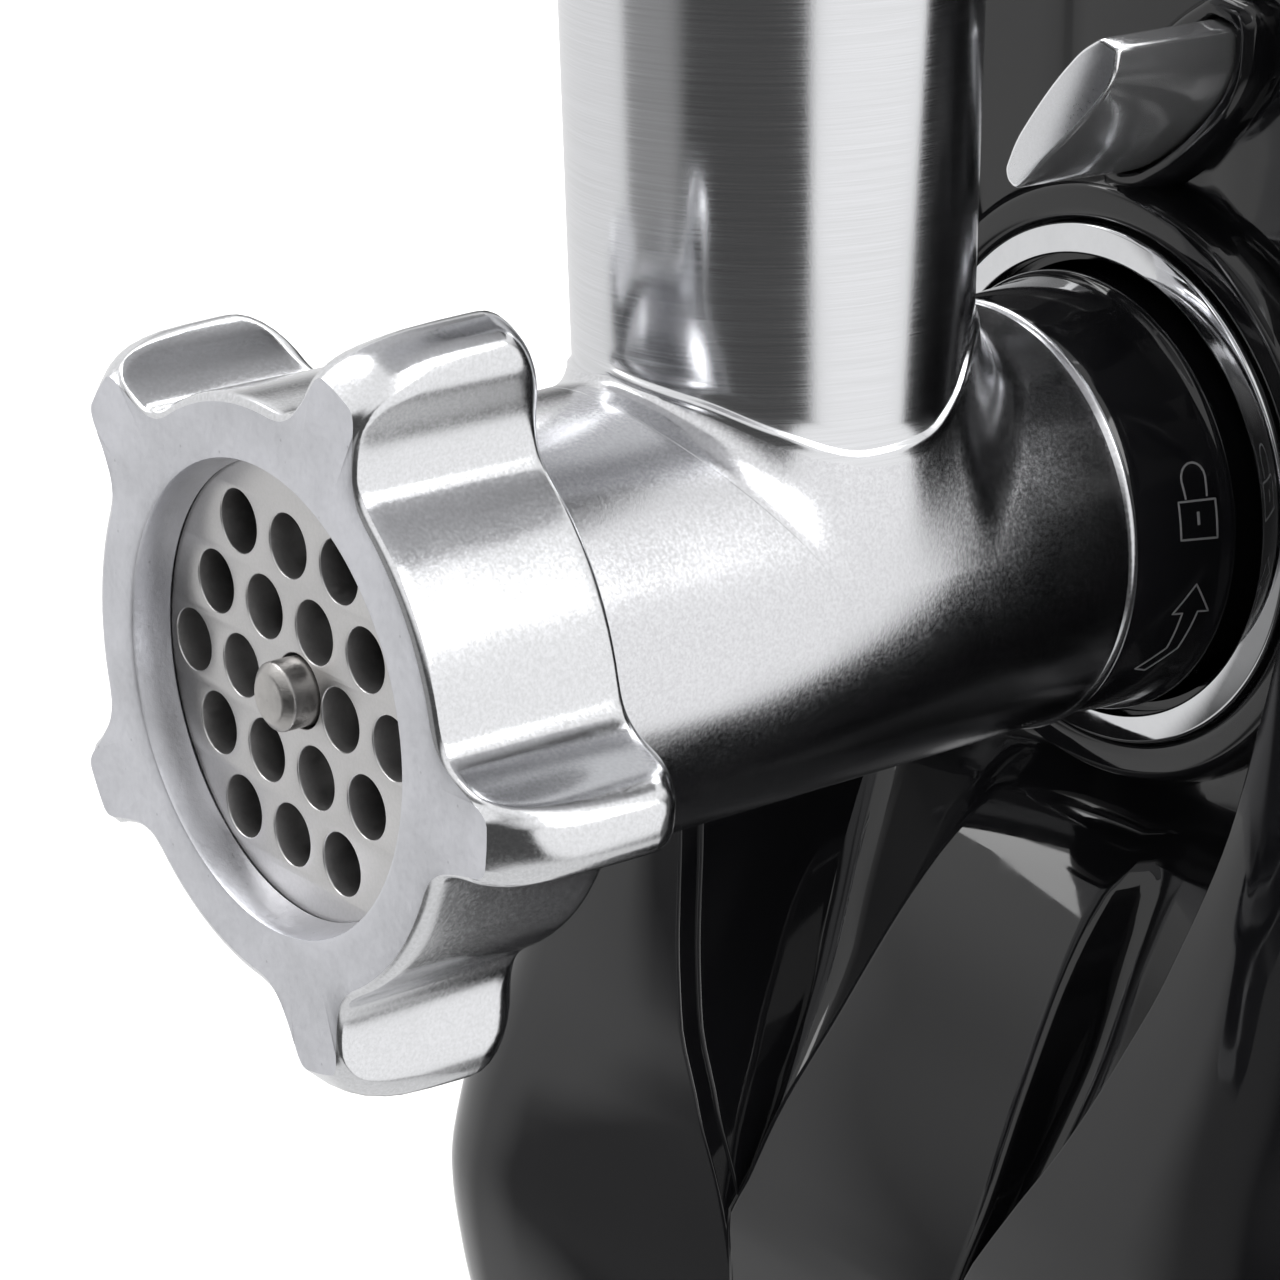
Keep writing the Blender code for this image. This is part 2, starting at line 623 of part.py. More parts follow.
def inset(point, step, split):
    """The point of the cover's inside that lies behind a point of its outside."""
    x, y, z = point
    narrower = 1.0 - COVER_WALL / between(HALF_WIDTH, z)
    towards_split = COVER_WALL * max(-1.0, min(1.0, (split - y) / 30.0))
    return x * narrower, y + towards_split, z - COVER_WALL * step


def cover_shell(name, half_profile, heights):
    """A walled shell, open at the split and below; towards the top it rounds over."""
    rows = []
    for z in heights:
        half = half_profile(z)
        rows.append((0.0, [(-x, y, z) for x, y in half[::-1]] + [(x, y, z) for x, y in half[1:]]))
    last = rows[-1][1]
    split, width, shoulder = last[0][1], last[-1][0], heights[-1]
    for step in (0.35, 0.62, 0.82, 0.95, 1.0):
        drop = 1.0 - sqrt(1.0 - step * step)
        shrink = 1.0 - drop * TOP_ROUND / width
        top = shoulder + (COVER_TOP - shoulder) * step
        rows.append((step, [(x * shrink, split + (y - split) * shrink, top) for x, y, _ in last]))
    shape = bmesh.new()
    outside = [[shape.verts.new(p) for p in row] for _, row in rows]
    inside = [[shape.verts.new(inset(p, step, split)) for p in row] for step, row in rows]
    for grid in (outside, inside):
        for a, b in zip(grid, grid[1:]):
            for i in range(len(a) - 1):
                shape.faces.new((a[i], a[i + 1], b[i + 1], b[i]))
        shape.faces.new(grid[-1])
    out, within = outside, inside
    for i in range(len(out[0]) - 1):
        shape.faces.new((out[0][i], out[0][i + 1], within[0][i + 1], within[0][i]))
    for k in range(len(out) - 1):
        for end in (0, -1):
            shape.faces.new((out[k][end], out[k + 1][end], within[k + 1][end], within[k][end]))
    shape.faces.new((out[-1][0], out[-1][-1], within[-1][-1], within[-1][0]))
    return finish(name, shape, GLOSS_BLACK, smooth_deg=28.0)


def front_cover():
    heights = (COVER_BOTTOM, -128, -112, -100, -94, -88, -80, -70, -60, -50, -38, -36.2, -20, 0, 30,
               58, COVER_TOP - TOP_ROUND)
    cover = cover_shell("front_cover", front_half_profile, heights)
    hole = [circle(SOCKET_WALL_R + 1.3, 40, y, start=0.04) for y in (60.0, 160.0)]
    cut(cover, cutter("socket_hole", loops_bmesh(hole)))
    opening = shifted(leaf(BUTTON_HALF_LENGTH + 0.9, BUTTON_HALF_WIDTH + 0.5, BUTTON_TILT_DEG), BUTTON_CENTRE)
    cut(cover, cutter("button_hole", loops_bmesh(prism(opening, 80.0, 150.0))))


def rear_cover():
    heights = (COVER_BOTTOM, -125, -100, -60, 0, 40, COVER_TOP - TOP_ROUND)
    cover = cover_shell("rear_cover", back_half_profile, heights)
    window_low = (40.0, PANEL_Y[0] - GAP, PANEL_Z[0] - GAP)
    window_high = (90.0, PANEL_Y[1] + GAP, PANEL_Z[1] + GAP)
    cut(cover, cutter("panel_hole", boxes_bmesh([(window_low, window_high)])))
    slots = boxes_bmesh([((-30.0, 255.0, z), (30.0, 290.0, z + 4.0)) for z in range(-20, 45, 9)])
    cut(cover, cutter("vent_slots", slots))
    side, half_height = INLET_HALF_WIDTH + GAP, INLET_HALF_HEIGHT + GAP
    inlet_low, inlet_high = (-side, 250.0, INLET_Z - half_height), (side, 290.0, INLET_Z + half_height)
    cut(cover, cutter("inlet_hole", boxes_bmesh([(inlet_low, inlet_high)])))


def base():
    outline = []
    front, back = 84.0, BACK_Y - 4.0
    for sx, cy, corner, start in ((1, back, 28.0, 0.0), (-1, back, 28.0, 90.0), (-1, front, 16.0, 180.0),
                                  (1, front, 16.0, 270.0)):
        width = 71.5
        for i in range(6):
            a = radians(start + 90.0 * i / 5)
            centre_y = cy - corner if cy == back else cy + corner
            outline.append((sx * (width - corner) + corner * cos(a), centre_y + corner * sin(a)))
    loops = [[(x, y, z) for x, y in outline] for z in (BASE_PLATE_BOTTOM, BASE_PLATE_TOP)]
    skin("base_plate", loops, BLACK_PLASTIC)
    number = 0
    for y in (104.0, 244.0):
        for x in (-52.0, 52.0):
            number += 1
            profile = ((FOOT_BOTTOM, 8.5), (FOOT_BOTTOM + 1.0, 9.5), (BASE_PLATE_BOTTOM - GAP, 10.5))
            loops = [level_circle(r, 20, z, (x, y)) for z, r in profile]
            skin(f"foot_{number}", loops, RUBBER)
            screw_x = x - 16.0 * (1 if x > 0 else -1)
            profile = ((BASE_PLATE_BOTTOM - 2.0, 2.6), (BASE_PLATE_BOTTOM - 1.4, 3.5),
                       (BASE_PLATE_BOTTOM - GAP, 3.5))
            loops = [level_circle(r, 12, z, (screw_x, y)) for z, r in profile]
            skin(f"base_screw_{number}", loops, STEEL)


# ---------------------------------------------------------------- gear train

def tooth_outline(teeth, module, phase_deg):
    """A toothed wheel's outline with straight-sided teeth, slightly slimmer than their gaps."""
    pitch = teeth * module / 2
    step = 360.0 / teeth
    shares = ((-0.33, -1.2), (-0.11, 0.9), (0.11, 0.9), (0.33, -1.2))
    outline = []
    for k in range(teeth):
        for share, height in shares:
            a = radians(phase_deg + (k + share) * step)
            r = pitch + height * module
            outline.append((r * cos(a), r * sin(a)))
    return outline


def bearing_angle(start, end):
    return atan2(end[1] - start[1], end[0] - start[0]) * 180 / pi


def mesh_phase(own, other, own_teeth, other_teeth, other_phase):
    """The phase that sets this wheel's gap against the other wheel's nearest tooth."""
    facing = bearing_angle(other, own)
    other_step = 360.0 / other_teeth
    lead = ((facing - other_phase) / other_step) % 1.0
    return bearing_angle(own, other) + (lead + 0.5) * 360.0 / own_teeth


def bore_through(piece, radius, front, rear):
    """Drills a round hole along the piece's own axis."""
    rings = [circle(radius, 24, y) for y in (front - 1, rear + 1)]
    drill = cutter(piece.name + "_bore_form", loops_bmesh(rings))
    drill.location = piece.location
    cut(piece, drill)


def cluster_gear(name, centre, wheel, wheel_plane, pinion, pinion_plane, look):
    """A big wheel and a small pinion moulded in one on a plain bore."""
    big = finish(name, loops_bmesh(prism(wheel, *wheel_plane)), look, (centre[0], 0.0, centre[1]))
    joined = prism(pinion, pinion_plane[0], pinion_plane[1])
    small = cutter(name + "_pinion_form", loops_bmesh(joined))
    small.location = big.location
    cut(big, small, "UNION")
    bore_through(big, PIVOT_R + 0.15, pinion_plane[0], wheel_plane[1])


def gear_train():
    output_phase = 0.0
    second_pinion = mesh_phase(SECOND_AXIS, OUTPUT_AXIS, STEP_TEETH, WHEEL_TEETH, output_phase)
    second_wheel = 0.0
    first_pinion = mesh_phase(FIRST_AXIS, SECOND_AXIS, STEP_TEETH, WHEEL_TEETH, second_wheel)
    first_wheel = 0.0
    motor_pinion = mesh_phase(MOTOR_AXIS, FIRST_AXIS, PINION_TEETH, FIRST_TEETH, first_wheel)

    outline = tooth_outline(WHEEL_TEETH, OUTPUT_MODULE, output_phase)
    wheel = skin("output_gear", prism(outline, *OUTPUT_PLANE), NYLON)
    bore_through(wheel, OUTPUT_SHAFT_R + 0.3, *OUTPUT_PLANE)
    shaft_end = GEARBOX_REAR - GEARBOX_WALL - 1.4
    turned("output_shaft", (
        (HEX_REAR + 1.5, 0.0), (HEX_REAR + 1.5, DRIVE_BORE_R), (DRIVE_MOUTH, DRIVE_BORE_R),
        (DRIVE_MOUTH, OUTPUT_SHAFT_R), (OUTPUT_PLANE[1] + 1.0, OUTPUT_SHAFT_R),
        (OUTPUT_PLANE[1] + 1.0, 5.0), (shaft_end, 5.0), (shaft_end, 0.0)), STEEL, 24)

    cluster_gear("second_gear", SECOND_AXIS, tooth_outline(WHEEL_TEETH, SECOND_MODULE, second_wheel),
                 SECOND_PLANE, tooth_outline(STEP_TEETH, OUTPUT_MODULE, second_pinion),
                 (OUTPUT_PLANE[0], SECOND_PLANE[0] + 1.0), NYLON)
    cluster_gear("first_gear", FIRST_AXIS, tooth_outline(FIRST_TEETH, FIRST_MODULE, first_wheel),
                 FIRST_PLANE, tooth_outline(STEP_TEETH, SECOND_MODULE, first_pinion),
                 (SECOND_PLANE[0], FIRST_PLANE[0] + 1.0), NYLON)
    pivots = (("second_pivot", SECOND_AXIS, OUTPUT_PLANE[0]), ("first_pivot", FIRST_AXIS, SECOND_PLANE[0]))
    for name, axis, front in pivots:
        turned(name, ((front - 3.0, PIVOT_R), (GEARBOX_REAR - GEARBOX_WALL - GAP, PIVOT_R)), STEEL, 16,
               (axis[0], 0.0, axis[1]))
    return tooth_outline(PINION_TEETH, FIRST_MODULE, motor_pinion)


def hull(points):
    """The convex outline round a set of (x, z) points, anticlockwise."""
    points = sorted(set(points))

    def half(seq):
        chain = []
        for p in seq:
            while len(chain) > 1:
                (ax, az), (bx, bz) = chain[-2], chain[-1]
                if (bx - ax) * (p[1] - az) - (bz - az) * (p[0] - ax) > 0:
                    break
                chain.pop()
            chain.append(p)
        return chain[:-1]

    return half(points) + half(points[::-1])


def gearbox():
    """The cup behind the gears and the plate that closes it in front."""
    rounds = ((OUTPUT_AXIS, 48.0), (SECOND_AXIS, 41.0), (FIRST_AXIS, 36.0), (MOTOR_AXIS, 26.0))

    def outline(grow):
        points = []
        for centre, radius in rounds:
            for i in range(28):
                a = tau * i / 28
                points.append((round(centre[0] + (radius + grow) * cos(a), 4),
                               round(centre[1] + (radius + grow) * sin(a), 4)))
        return hull(points)

    outside = outline(GEARBOX_WALL)
    case = finish("gearbox_case", loops_bmesh(prism(outside, GEARBOX_SEAM, GEARBOX_REAR)), BLACK_PLASTIC)
    inside = prism(outline(0.0), GEARBOX_SEAM - 1, GEARBOX_REAR - GEARBOX_WALL)
    cut(case, cutter("gearbox_inside", loops_bmesh(inside)))
    hole = [circle(9.0, 24, y, centre=MOTOR_AXIS) for y in (GEARBOX_REAR - 10, GEARBOX_REAR + 5)]
    cut(case, cutter("motor_hole", loops_bmesh(hole)))
    plate_loops = prism(outside, GEARBOX_FRONT, GEARBOX_SEAM - GAP)
    plate = finish("gearbox_cover", loops_bmesh(plate_loops), BLACK_PLASTIC)
    seat = [circle(17.0, 32, y) for y in (GEARBOX_FRONT - 2, GEARBOX_SEAM + 2)]
    cut(plate, cutter("bearing_seat", loops_bmesh(seat)))
    ring_piece("output_bearing", OUTPUT_SHAFT_R + 0.25, 16.7, GEARBOX_FRONT, GEARBOX_SEAM - GAP, STEEL)


# ---------------------------------------------------------------- motor

def sector(inner, outer, start_deg, end_deg, front, rear, steps=10):
    """A curved block between two radii and two angles."""
    arc = [radians(start_deg + (end_deg - start_deg) * i / steps) for i in range(steps + 1)]
    there = [(outer * cos(a), outer * sin(a)) for a in arc]
    back = [(inner * cos(a), inner * sin(a)) for a in arc[::-1]]
    return prism(there + back, front, rear)


def motor(pinion_outline):
    at = (MOTOR_AXIS[0], 0.0, MOTOR_AXIS[1])
    shaft_profile = ((FIRST_PLANE[1] + 1.0, MOTOR_SHAFT_R), (264.0, MOTOR_SHAFT_R))
    shaft = turned("motor_shaft", shaft_profile, STEEL, 16, at)
    pinion = prism(pinion_outline, FIRST_PLANE[0], FIRST_PLANE[1] + 2.0)
    form = cutter("motor_pinion_form", loops_bmesh(pinion))
    form.location = shaft.location
    cut(shaft, form, "UNION")
    bore = MOTOR_SHAFT_R + 0.2
    ring_piece("rotor_core", bore, ROTOR_R, CORE_FRONT, CORE_REAR, LAMINATION, 32, at)
    ring_piece("commutator", bore, 9.0, 242.0, 253.0, COPPER, 24, at)
    fan_outline = []
    blades = 12
    for k in range(blades):
        for share, r in ((0.0, 9.0), (0.16, FAN_R), (0.34, FAN_R), (0.42, 9.0)):
            a = tau * (k + share) / blades
            fan_outline.append((r * cos(a), r * sin(a)))
    fan = skin("cooling_fan", prism(fan_outline, 189.5, 198.0), BLACK_PLASTIC, at=at)
    bore_through(fan, bore, 189.5, 198.0)
    ring_piece("stator_core", STATOR_BORE_R, STATOR_R, CORE_FRONT, CORE_REAR, LAMINATION, 32, at)
    for name, start in (("field_coil_right", -62.0), ("field_coil_left", 118.0)):
        loops = sector(ROTOR_R + 1.2, STATOR_BORE_R - 0.5, start, start + COIL_SPAN_DEG, CORE_FRONT - 3.0,
                       CORE_REAR + 3.0)
        skin(name, loops, COPPER, at=at)
    for name, side in (("brush_holder_right", 1), ("brush_holder_left", -1)):
        x0, x1 = sorted((MOTOR_AXIS[0] + side * 9.6, MOTOR_AXIS[0] + side * 27.0))
        block(name, (x0, 243.5, MOTOR_AXIS[1] - 4.0), (x1, 251.5, MOTOR_AXIS[1] + 4.0), NYLON, 0.6)
    ring_piece("motor_front_bearing", bore + 0.1, 8.6, GEARBOX_REAR - 2.8, GEARBOX_REAR + 1.5, STEEL, 24, at)
    ring_piece("motor_rear_bearing", bore + 0.1, 9.5, 256.0, 262.0, STEEL, 24, at)
    bracket = block("motor_bracket", (at[0] - 32.0, 255.5, at[2] - 12.0), (at[0] + 32.0, 262.5, at[2] + 12.0),
                    STEEL, 1.0)
    seat = [circle(9.8, 24, y, centre=MOTOR_AXIS) for y in (250.0, 270.0)]
    cut(bracket, cutter("rear_bearing_seat", loops_bmesh(seat)))


# ---------------------------------------------------------------- electrics and controls

def electrics():
    block("circuit_board", (-45.0, 196.0, -138.0), (15.0, 240.0, -136.4), BOARD_GREEN)
    side, half_height = INLET_HALF_WIDTH, INLET_HALF_HEIGHT
    inlet = block("power_inlet", (-side, 262.0, INLET_Z - half_height), (side, BACK_Y, INLET_Z + half_height),
                  BLACK_PLASTIC, 1.0)
    recess = ((-11.0, 265.0, INLET_Z - 5.0), (11.0, 280.0, INLET_Z + 5.0))
    cut(inlet, cutter("inlet_recess", boxes_bmesh([recess])))
    half_pin = 1.2
    pins = [((x - half_pin, 264.0, INLET_Z - half_pin), (x + half_pin, 274.0, INLET_Z + half_pin))
            for x in (-4.5, 4.5)]
    cut(inlet, cutter("inlet_pins", boxes_bmesh(pins)), "UNION")


def controls():
    y0, y1 = PANEL_Y
    z0, z1 = PANEL_Z
    back_x = PANEL_FACE_X - 14.0
    panel = block("control_panel", (back_x, y0, z0), (PANEL_FACE_X, y1, z1), GLOSS_BLACK, 2.0)
    holes = []
    for z, half_y, half_z in ((ROCKER_Z, 12.0, 8.0), (REVERSE_Z, 8.0, 8.0)):
        holes.append(((back_x - 2, CONTROL_Y - half_y - GAP, z - half_z - GAP),
                      (PANEL_FACE_X + 5, CONTROL_Y + half_y + GAP, z + half_z + GAP)))
    cut(panel, cutter("panel_holes", boxes_bmesh(holes)))
    pivot = PANEL_FACE_X - 5.0
    shape = loops_bmesh([[(x, CONTROL_Y + y, ROCKER_Z + z) for x, y in (
        (pivot - 6.0, -5.0), (pivot - 6.0, 5.0), (pivot + 2.0, 11.0), (pivot + 6.5, 11.0), (pivot + 4.6, 0.0),
        (pivot + 6.5, -11.0), (pivot + 2.0, -11.0))] for z in (-7.8, 7.8)])
    bmesh.ops.translate(shape, verts=shape.verts, vec=(-pivot, -CONTROL_Y, -ROCKER_Z))
    finish("power_rocker", shape, BLACK_PLASTIC, (pivot, CONTROL_Y, ROCKER_Z))
    block("reverse_button", (PANEL_FACE_X - 8.0, CONTROL_Y - 7.7, REVERSE_Z - 7.7),
          (PANEL_FACE_X + 3.0, CONTROL_Y + 7.7, REVERSE_Z + 7.7), CHROME, 1.2)
    for name, z in (("rocker_switch", ROCKER_Z), ("reverse_switch", REVERSE_Z)):
        block(name, (back_x - 16.0, CONTROL_Y - 10.0, z - 7.0), (back_x - 0.5, CONTROL_Y + 10.0, z + 7.0),
              NYLON, 0.6)
    spring = [(x, r) for x, r in ((back_x + GAP, 2.6), (back_x + GAP, 3.6), (PANEL_FACE_X - 8.5, 3.6),
                                  (PANEL_FACE_X - 8.5, 2.6))]
    loops = [[(x, CONTROL_Y + r * cos(tau * i / 14), REVERSE_Z + r * sin(tau * i / 14)) for i in range(14)]
             for x, r in spring]
    skin("reverse_spring", loops, STEEL, closed=True)


def build():
    ring_nut()
    cutting_plate()
    plate_key()
    knife()
    head_casting()
    auger()
    tray()
    pusher()
    socket_parts()
    lock_parts()
    front_cover()
    rear_cover()
    base()
    motor(gear_train())
    gearbox()
    electrics()
    controls()


for old in list(bpy.data.objects):
    bpy.data.objects.remove(old)
HEAD_AXIS = bpy.data.objects.new("head_axis", None)
HEAD_AXIS.location = (0.0, NUT_FRONT * MM, AXIS_HEIGHT * MM)
bpy.context.scene.collection.objects.link(HEAD_AXIS)
build()
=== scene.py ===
"""Electric meat grinder: the detailed pieces, finishes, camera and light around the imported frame.

Shapes are written in millimetres about the head's axis, in the plane of the ring nut's front face:
x to the right, y back along the head, z up. place() carries them into the frame's metres.
"""

from bisect import bisect_right
from math import cos, hypot, pi, radians, sin, sqrt, tau

import bmesh
import bpy
from mathutils import Matrix, Vector


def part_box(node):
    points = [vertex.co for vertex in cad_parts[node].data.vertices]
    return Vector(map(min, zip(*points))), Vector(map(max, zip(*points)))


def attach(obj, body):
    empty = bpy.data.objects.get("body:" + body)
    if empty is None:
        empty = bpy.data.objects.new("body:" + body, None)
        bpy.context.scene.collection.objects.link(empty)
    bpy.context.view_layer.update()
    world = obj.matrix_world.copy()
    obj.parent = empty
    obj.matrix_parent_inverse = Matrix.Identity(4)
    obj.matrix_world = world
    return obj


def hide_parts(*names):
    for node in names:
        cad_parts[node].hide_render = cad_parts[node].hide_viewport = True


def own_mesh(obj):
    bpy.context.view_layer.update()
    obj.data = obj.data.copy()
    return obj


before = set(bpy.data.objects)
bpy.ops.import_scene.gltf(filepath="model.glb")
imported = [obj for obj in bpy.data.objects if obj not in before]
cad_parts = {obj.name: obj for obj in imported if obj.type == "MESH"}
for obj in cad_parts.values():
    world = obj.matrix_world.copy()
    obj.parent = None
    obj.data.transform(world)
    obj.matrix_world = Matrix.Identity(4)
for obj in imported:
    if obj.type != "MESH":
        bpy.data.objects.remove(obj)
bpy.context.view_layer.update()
MM = 0.001
# the head's axis in the frame, in metres
AXIS_Y, AXIS_Z = -0.1305, 0.155
MERGE_DISTANCE = 1e-6


def place(p):
    return (p[0] * MM, p[1] * MM + AXIS_Y, p[2] * MM + AXIS_Z)


def add(name, data):
    """A new object in the scene."""
    obj = bpy.data.objects.new(name, data)
    bpy.context.scene.collection.objects.link(obj)
    return obj


# ---------------- shape helpers

def smooth_value(table, x):
    """Monotone cubic reading of a table of (x, value) pairs."""
    xs = [t[0] for t in table]
    ys = [t[1] for t in table]
    if x <= xs[0]:
        return ys[0]
    if x >= xs[-1]:
        return ys[-1]
    k = min(bisect_right(xs, x) - 1, len(xs) - 2)

    def slope(i):
        if i in (0, len(xs) - 1):
            j = min(i, len(xs) - 2)
            return (ys[j + 1] - ys[j]) / (xs[j + 1] - xs[j])
        a = (ys[i] - ys[i - 1]) / (xs[i] - xs[i - 1])
        b = (ys[i + 1] - ys[i]) / (xs[i + 1] - xs[i])
        if a * b <= 0:
            return 0.0
        w1 = 2 * (xs[i + 1] - xs[i]) + (xs[i] - xs[i - 1])
        w2 = (xs[i + 1] - xs[i]) + 2 * (xs[i] - xs[i - 1])
        return (w1 + w2) / (w1 / a + w2 / b)

    h = xs[k + 1] - xs[k]
    t = (x - xs[k]) / h
    m0, m1 = slope(k) * h, slope(k + 1) * h
    return ((2 * t ** 3 - 3 * t * t + 1) * ys[k] + (t ** 3 - 2 * t * t + t) * m0
            + (3 * t * t - 2 * t ** 3) * ys[k + 1] + (t ** 3 - t * t) * m1)


def corner(a, p, b, radius, most):
    """How far p's rounding reaches, at most that share of each side, and the points along its sides."""
    la, lb = hypot(a[0] - p[0], a[1] - p[1]), hypot(b[0] - p[0], b[1] - p[1])
    cut = min(radius, most * la, most * lb)

    def towards(reach):
        return [tuple(p[j] + (q[j] - p[j]) / length * reach for j in (0, 1))
                for q, length in ((a, la), (b, lb))]

    return cut, towards


def rounded(profile, radius=0.5, steps=4, closed=False):
    """The polyline with each inner corner turned into a small arc."""
    n = len(profile)
    out = []
    for i, p in enumerate(profile):
        if not closed and i in (0, n - 1):
            out.append(p)
            continue
        cut, towards = corner(profile[i - 1], p, profile[(i + 1) % n], radius, 0.45)
        if cut < 1e-4:
            out.append(p)
        else:
            start, end = towards(cut)
            out += bezier(start, p, end, steps)
    return out


def bezier(p0, p1, p2, steps):
    """Points along the curve from p0 to p2 that leaves and arrives towards p1."""
    out = []
    for k in range(steps + 1):
        t = k / steps
        out.append(tuple((1 - t) ** 2 * a + 2 * t * (1 - t) * b + t * t * c for a, b, c in zip(p0, p1, p2)))
    return out


def circle(r, level, count, centre=(0.0, 0.0), upright=False):
    """Points round an axis along y, or along z if upright."""
    ring = []
    for i in range(count):
        a = tau * i / count
        u, v = centre[0] + r * cos(a), centre[1] + r * sin(a)
        ring.append((u, v, level) if upright else (u, level, v))
    return ring


class Shape:
    """Vertices and faces gathered in millimetres before they become a piece."""

    def __init__(self):
        self.verts, self.faces, self.mats = [], [], []

    def loft(self, rings, around=True, loop=False, cap_start=False, cap_end=False, mat=0):
        start = len(self.verts)
        n = len(rings[0])
        for ring in rings:
            self.verts.extend(ring)
        rows = len(rings)
        for k in range(rows if loop else rows - 1):
            a, b = start + k * n, start + ((k + 1) % rows) * n
            for i in range(n if around else n - 1):
                j = (i + 1) % n
                self.faces.append((a + i, a + j, b + j, b + i))
                self.mats.append(mat)
        if cap_start:
            self.faces.append(tuple(range(start, start + n)))
            self.mats.append(mat)
        if cap_end:
            self.faces.append(tuple(range(start + (rows - 1) * n, start + rows * n)))
            self.mats.append(mat)
        return self

    def lathe(self, profile, count=96, centre=(0.0, 0.0), upright=False, **kw):
        """profile: pairs of the level along the axis and the radius."""
        return self.loft([circle(r, level, count, centre, upright) for level, r in profile], **kw)

    def paint(self, inside, mat=1):
        """Gives the faces whose corners all pass the test another of the piece's materials."""
        for f, face in enumerate(self.faces):
            if all(inside(*self.verts[i]) for i in face):
                self.mats[f] = mat

    def mesh(self, name, merge):
        """The shape as a mesh in metres with its faces pointing out."""
        mesh = bpy.data.meshes.new(name)
        mesh.from_pydata([place(v) for v in self.verts], [], self.faces)
        mesh.polygons.foreach_set("material_index", self.mats)
        tidy = bmesh.new()
        tidy.from_mesh(mesh)
        if merge:
            bmesh.ops.remove_doubles(tidy, verts=tidy.verts, dist=MERGE_DISTANCE)
        bmesh.ops.recalc_face_normals(tidy, faces=tidy.faces)
        tidy.to_mesh(mesh)
        tidy.free()
        return mesh

    def piece(self, name, body, mats, replaces=None, smooth_deg=35.0, slot=None):
        """A visible piece on a body, hiding the node that it replaces. Its slot argument is not used."""
        obj = add(name, self.mesh(name, True))
        soften(obj, smooth_deg)
        for m in mats if isinstance(mats, list) else [mats]:
            obj.data.materials.append(m)
        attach(obj, body)
        if replaces:
            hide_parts(replaces)
        return obj


def soften(obj, smooth_deg):
    """Smooth shading with edges over the angle kept sharp."""
    obj.data.shade_smooth()
    obj.data.set_sharp_from_angle(angle=radians(smooth_deg))


def even_normals(obj, smooth_deg):
    """Lets the larger faces steer the shading of the small ones at an edge."""
    soften(obj, smooth_deg)
    even = obj.modifiers.new("even_normals", "WEIGHTED_NORMAL")
    even.keep_sharp = True


def apply_all(obj):
    """Turns the piece's modifiers into its mesh."""
    graph = bpy.context.evaluated_depsgraph_get()
    made = bpy.data.meshes.new_from_object(obj.evaluated_get(graph))
    old = obj.data
    obj.modifiers.clear()
    obj.data = made
    bpy.data.meshes.remove(old)


def carve(obj, *shapes):
    """Cuts shapes out of a piece."""
    tools = [add("tool", shape.mesh("tool", False)) for shape in shapes]
    for tool in tools:
        step = obj.modifiers.new("cut", "BOOLEAN")
        step.operation = "DIFFERENCE"
        step.solver = "EXACT"
        step.object = tool
    bpy.context.view_layer.update()
    apply_all(obj)
    for tool in tools:
        bpy.data.objects.remove(tool)


def at_depth(outline, y):
    return [(x, y, z) for x, z in outline]


def prism(outline, y0, y1):
    """An (x, z) outline carried along y."""
    return Shape().loft([at_depth(outline, y0), at_depth(outline, y1)], cap_start=True, cap_end=True)


def box_shape(low, high):
    (x0, y0, z0), (x1, y1, z1) = low, high
    return prism([(x0, z0), (x1, z0), (x1, z1), (x0, z1)], y0, y1)


# ---------------- finishes

class Nodes:
    """A small wrapper that keeps the node building of a material or the world readable."""

    def __init__(self, owner, shader="Principled BSDF", space="Object"):
        owner.use_nodes = True
        self.owner, self.tree = owner, owner.node_tree
        self.shader = self.tree.nodes[shader]
        self.coord = self.tree.nodes.new("ShaderNodeTexCoord").outputs[space]

    def feed(self, socket, value):
        """Links an output to a socket, or sets the socket's constant."""
        if isinstance(value, bpy.types.NodeSocket):
            self.tree.links.new(value, socket)
        else:
            socket.default_value = value

    def new(self, kind, inputs, **settings):
        node = self.tree.nodes.new(kind)
        for key, value in settings.items():
            setattr(node, key, value)
        for key, value in inputs.items():
            self.feed(node.inputs[key], value)
        return node

    def set(self, socket, value):
        self.feed(self.shader.inputs[socket], value)

    def scaled(self, scale, turn=(0.0, 0.0, 0.0)):
        return self.new("ShaderNodeMapping", {"Vector": self.coord, "Scale": scale,
                                              "Rotation": turn}).outputs[0]

    def noise(self, vector, scale, detail=3.0, rough=0.6):
        return self.new("ShaderNodeTexNoise", {"Vector": vector, "Scale": scale, "Detail": detail,
                                               "Roughness": rough}).outputs["Fac"]

    def ramp(self, fac, low, high, a=0.0, b=1.0, **settings):
        return self.new("ShaderNodeMapRange", {"Value": fac, "From Min": low, "From Max": high, "To Min": a,
                                               "To Max": b}, **settings).outputs["Result"]

    def mix(self, fac, a, b):
        made = self.new("ShaderNodeMix", {}, data_type="RGBA")
        ins = {s.name: s for s in made.inputs if s.enabled}
        self.feed(ins["Factor"], fac)
        for key, value in (("A", a), ("B", b)):
            self.feed(ins[key], (*value, 1.0) if isinstance(value, tuple) else value)
        return [s for s in made.outputs if s.enabled][0]

    def math(self, operation, a, b):
        return self.new("ShaderNodeMath", {0: a, 1: b}, operation=operation).outputs[0]

    def bump(self, height, distance, **inputs):
        inputs.update(Height=height, Distance=distance)
        return self.new("ShaderNodeBump", inputs).outputs["Normal"]

    def surface(self, colour, rough, normal, metallic=0.0):
        for socket, value in (("Base Color", colour), ("Roughness", rough), ("Normal", normal),
                              ("Metallic", metallic)):
            self.set(socket, value)
        return self.owner


def material(name):
    return Nodes(bpy.data.materials.new(name))


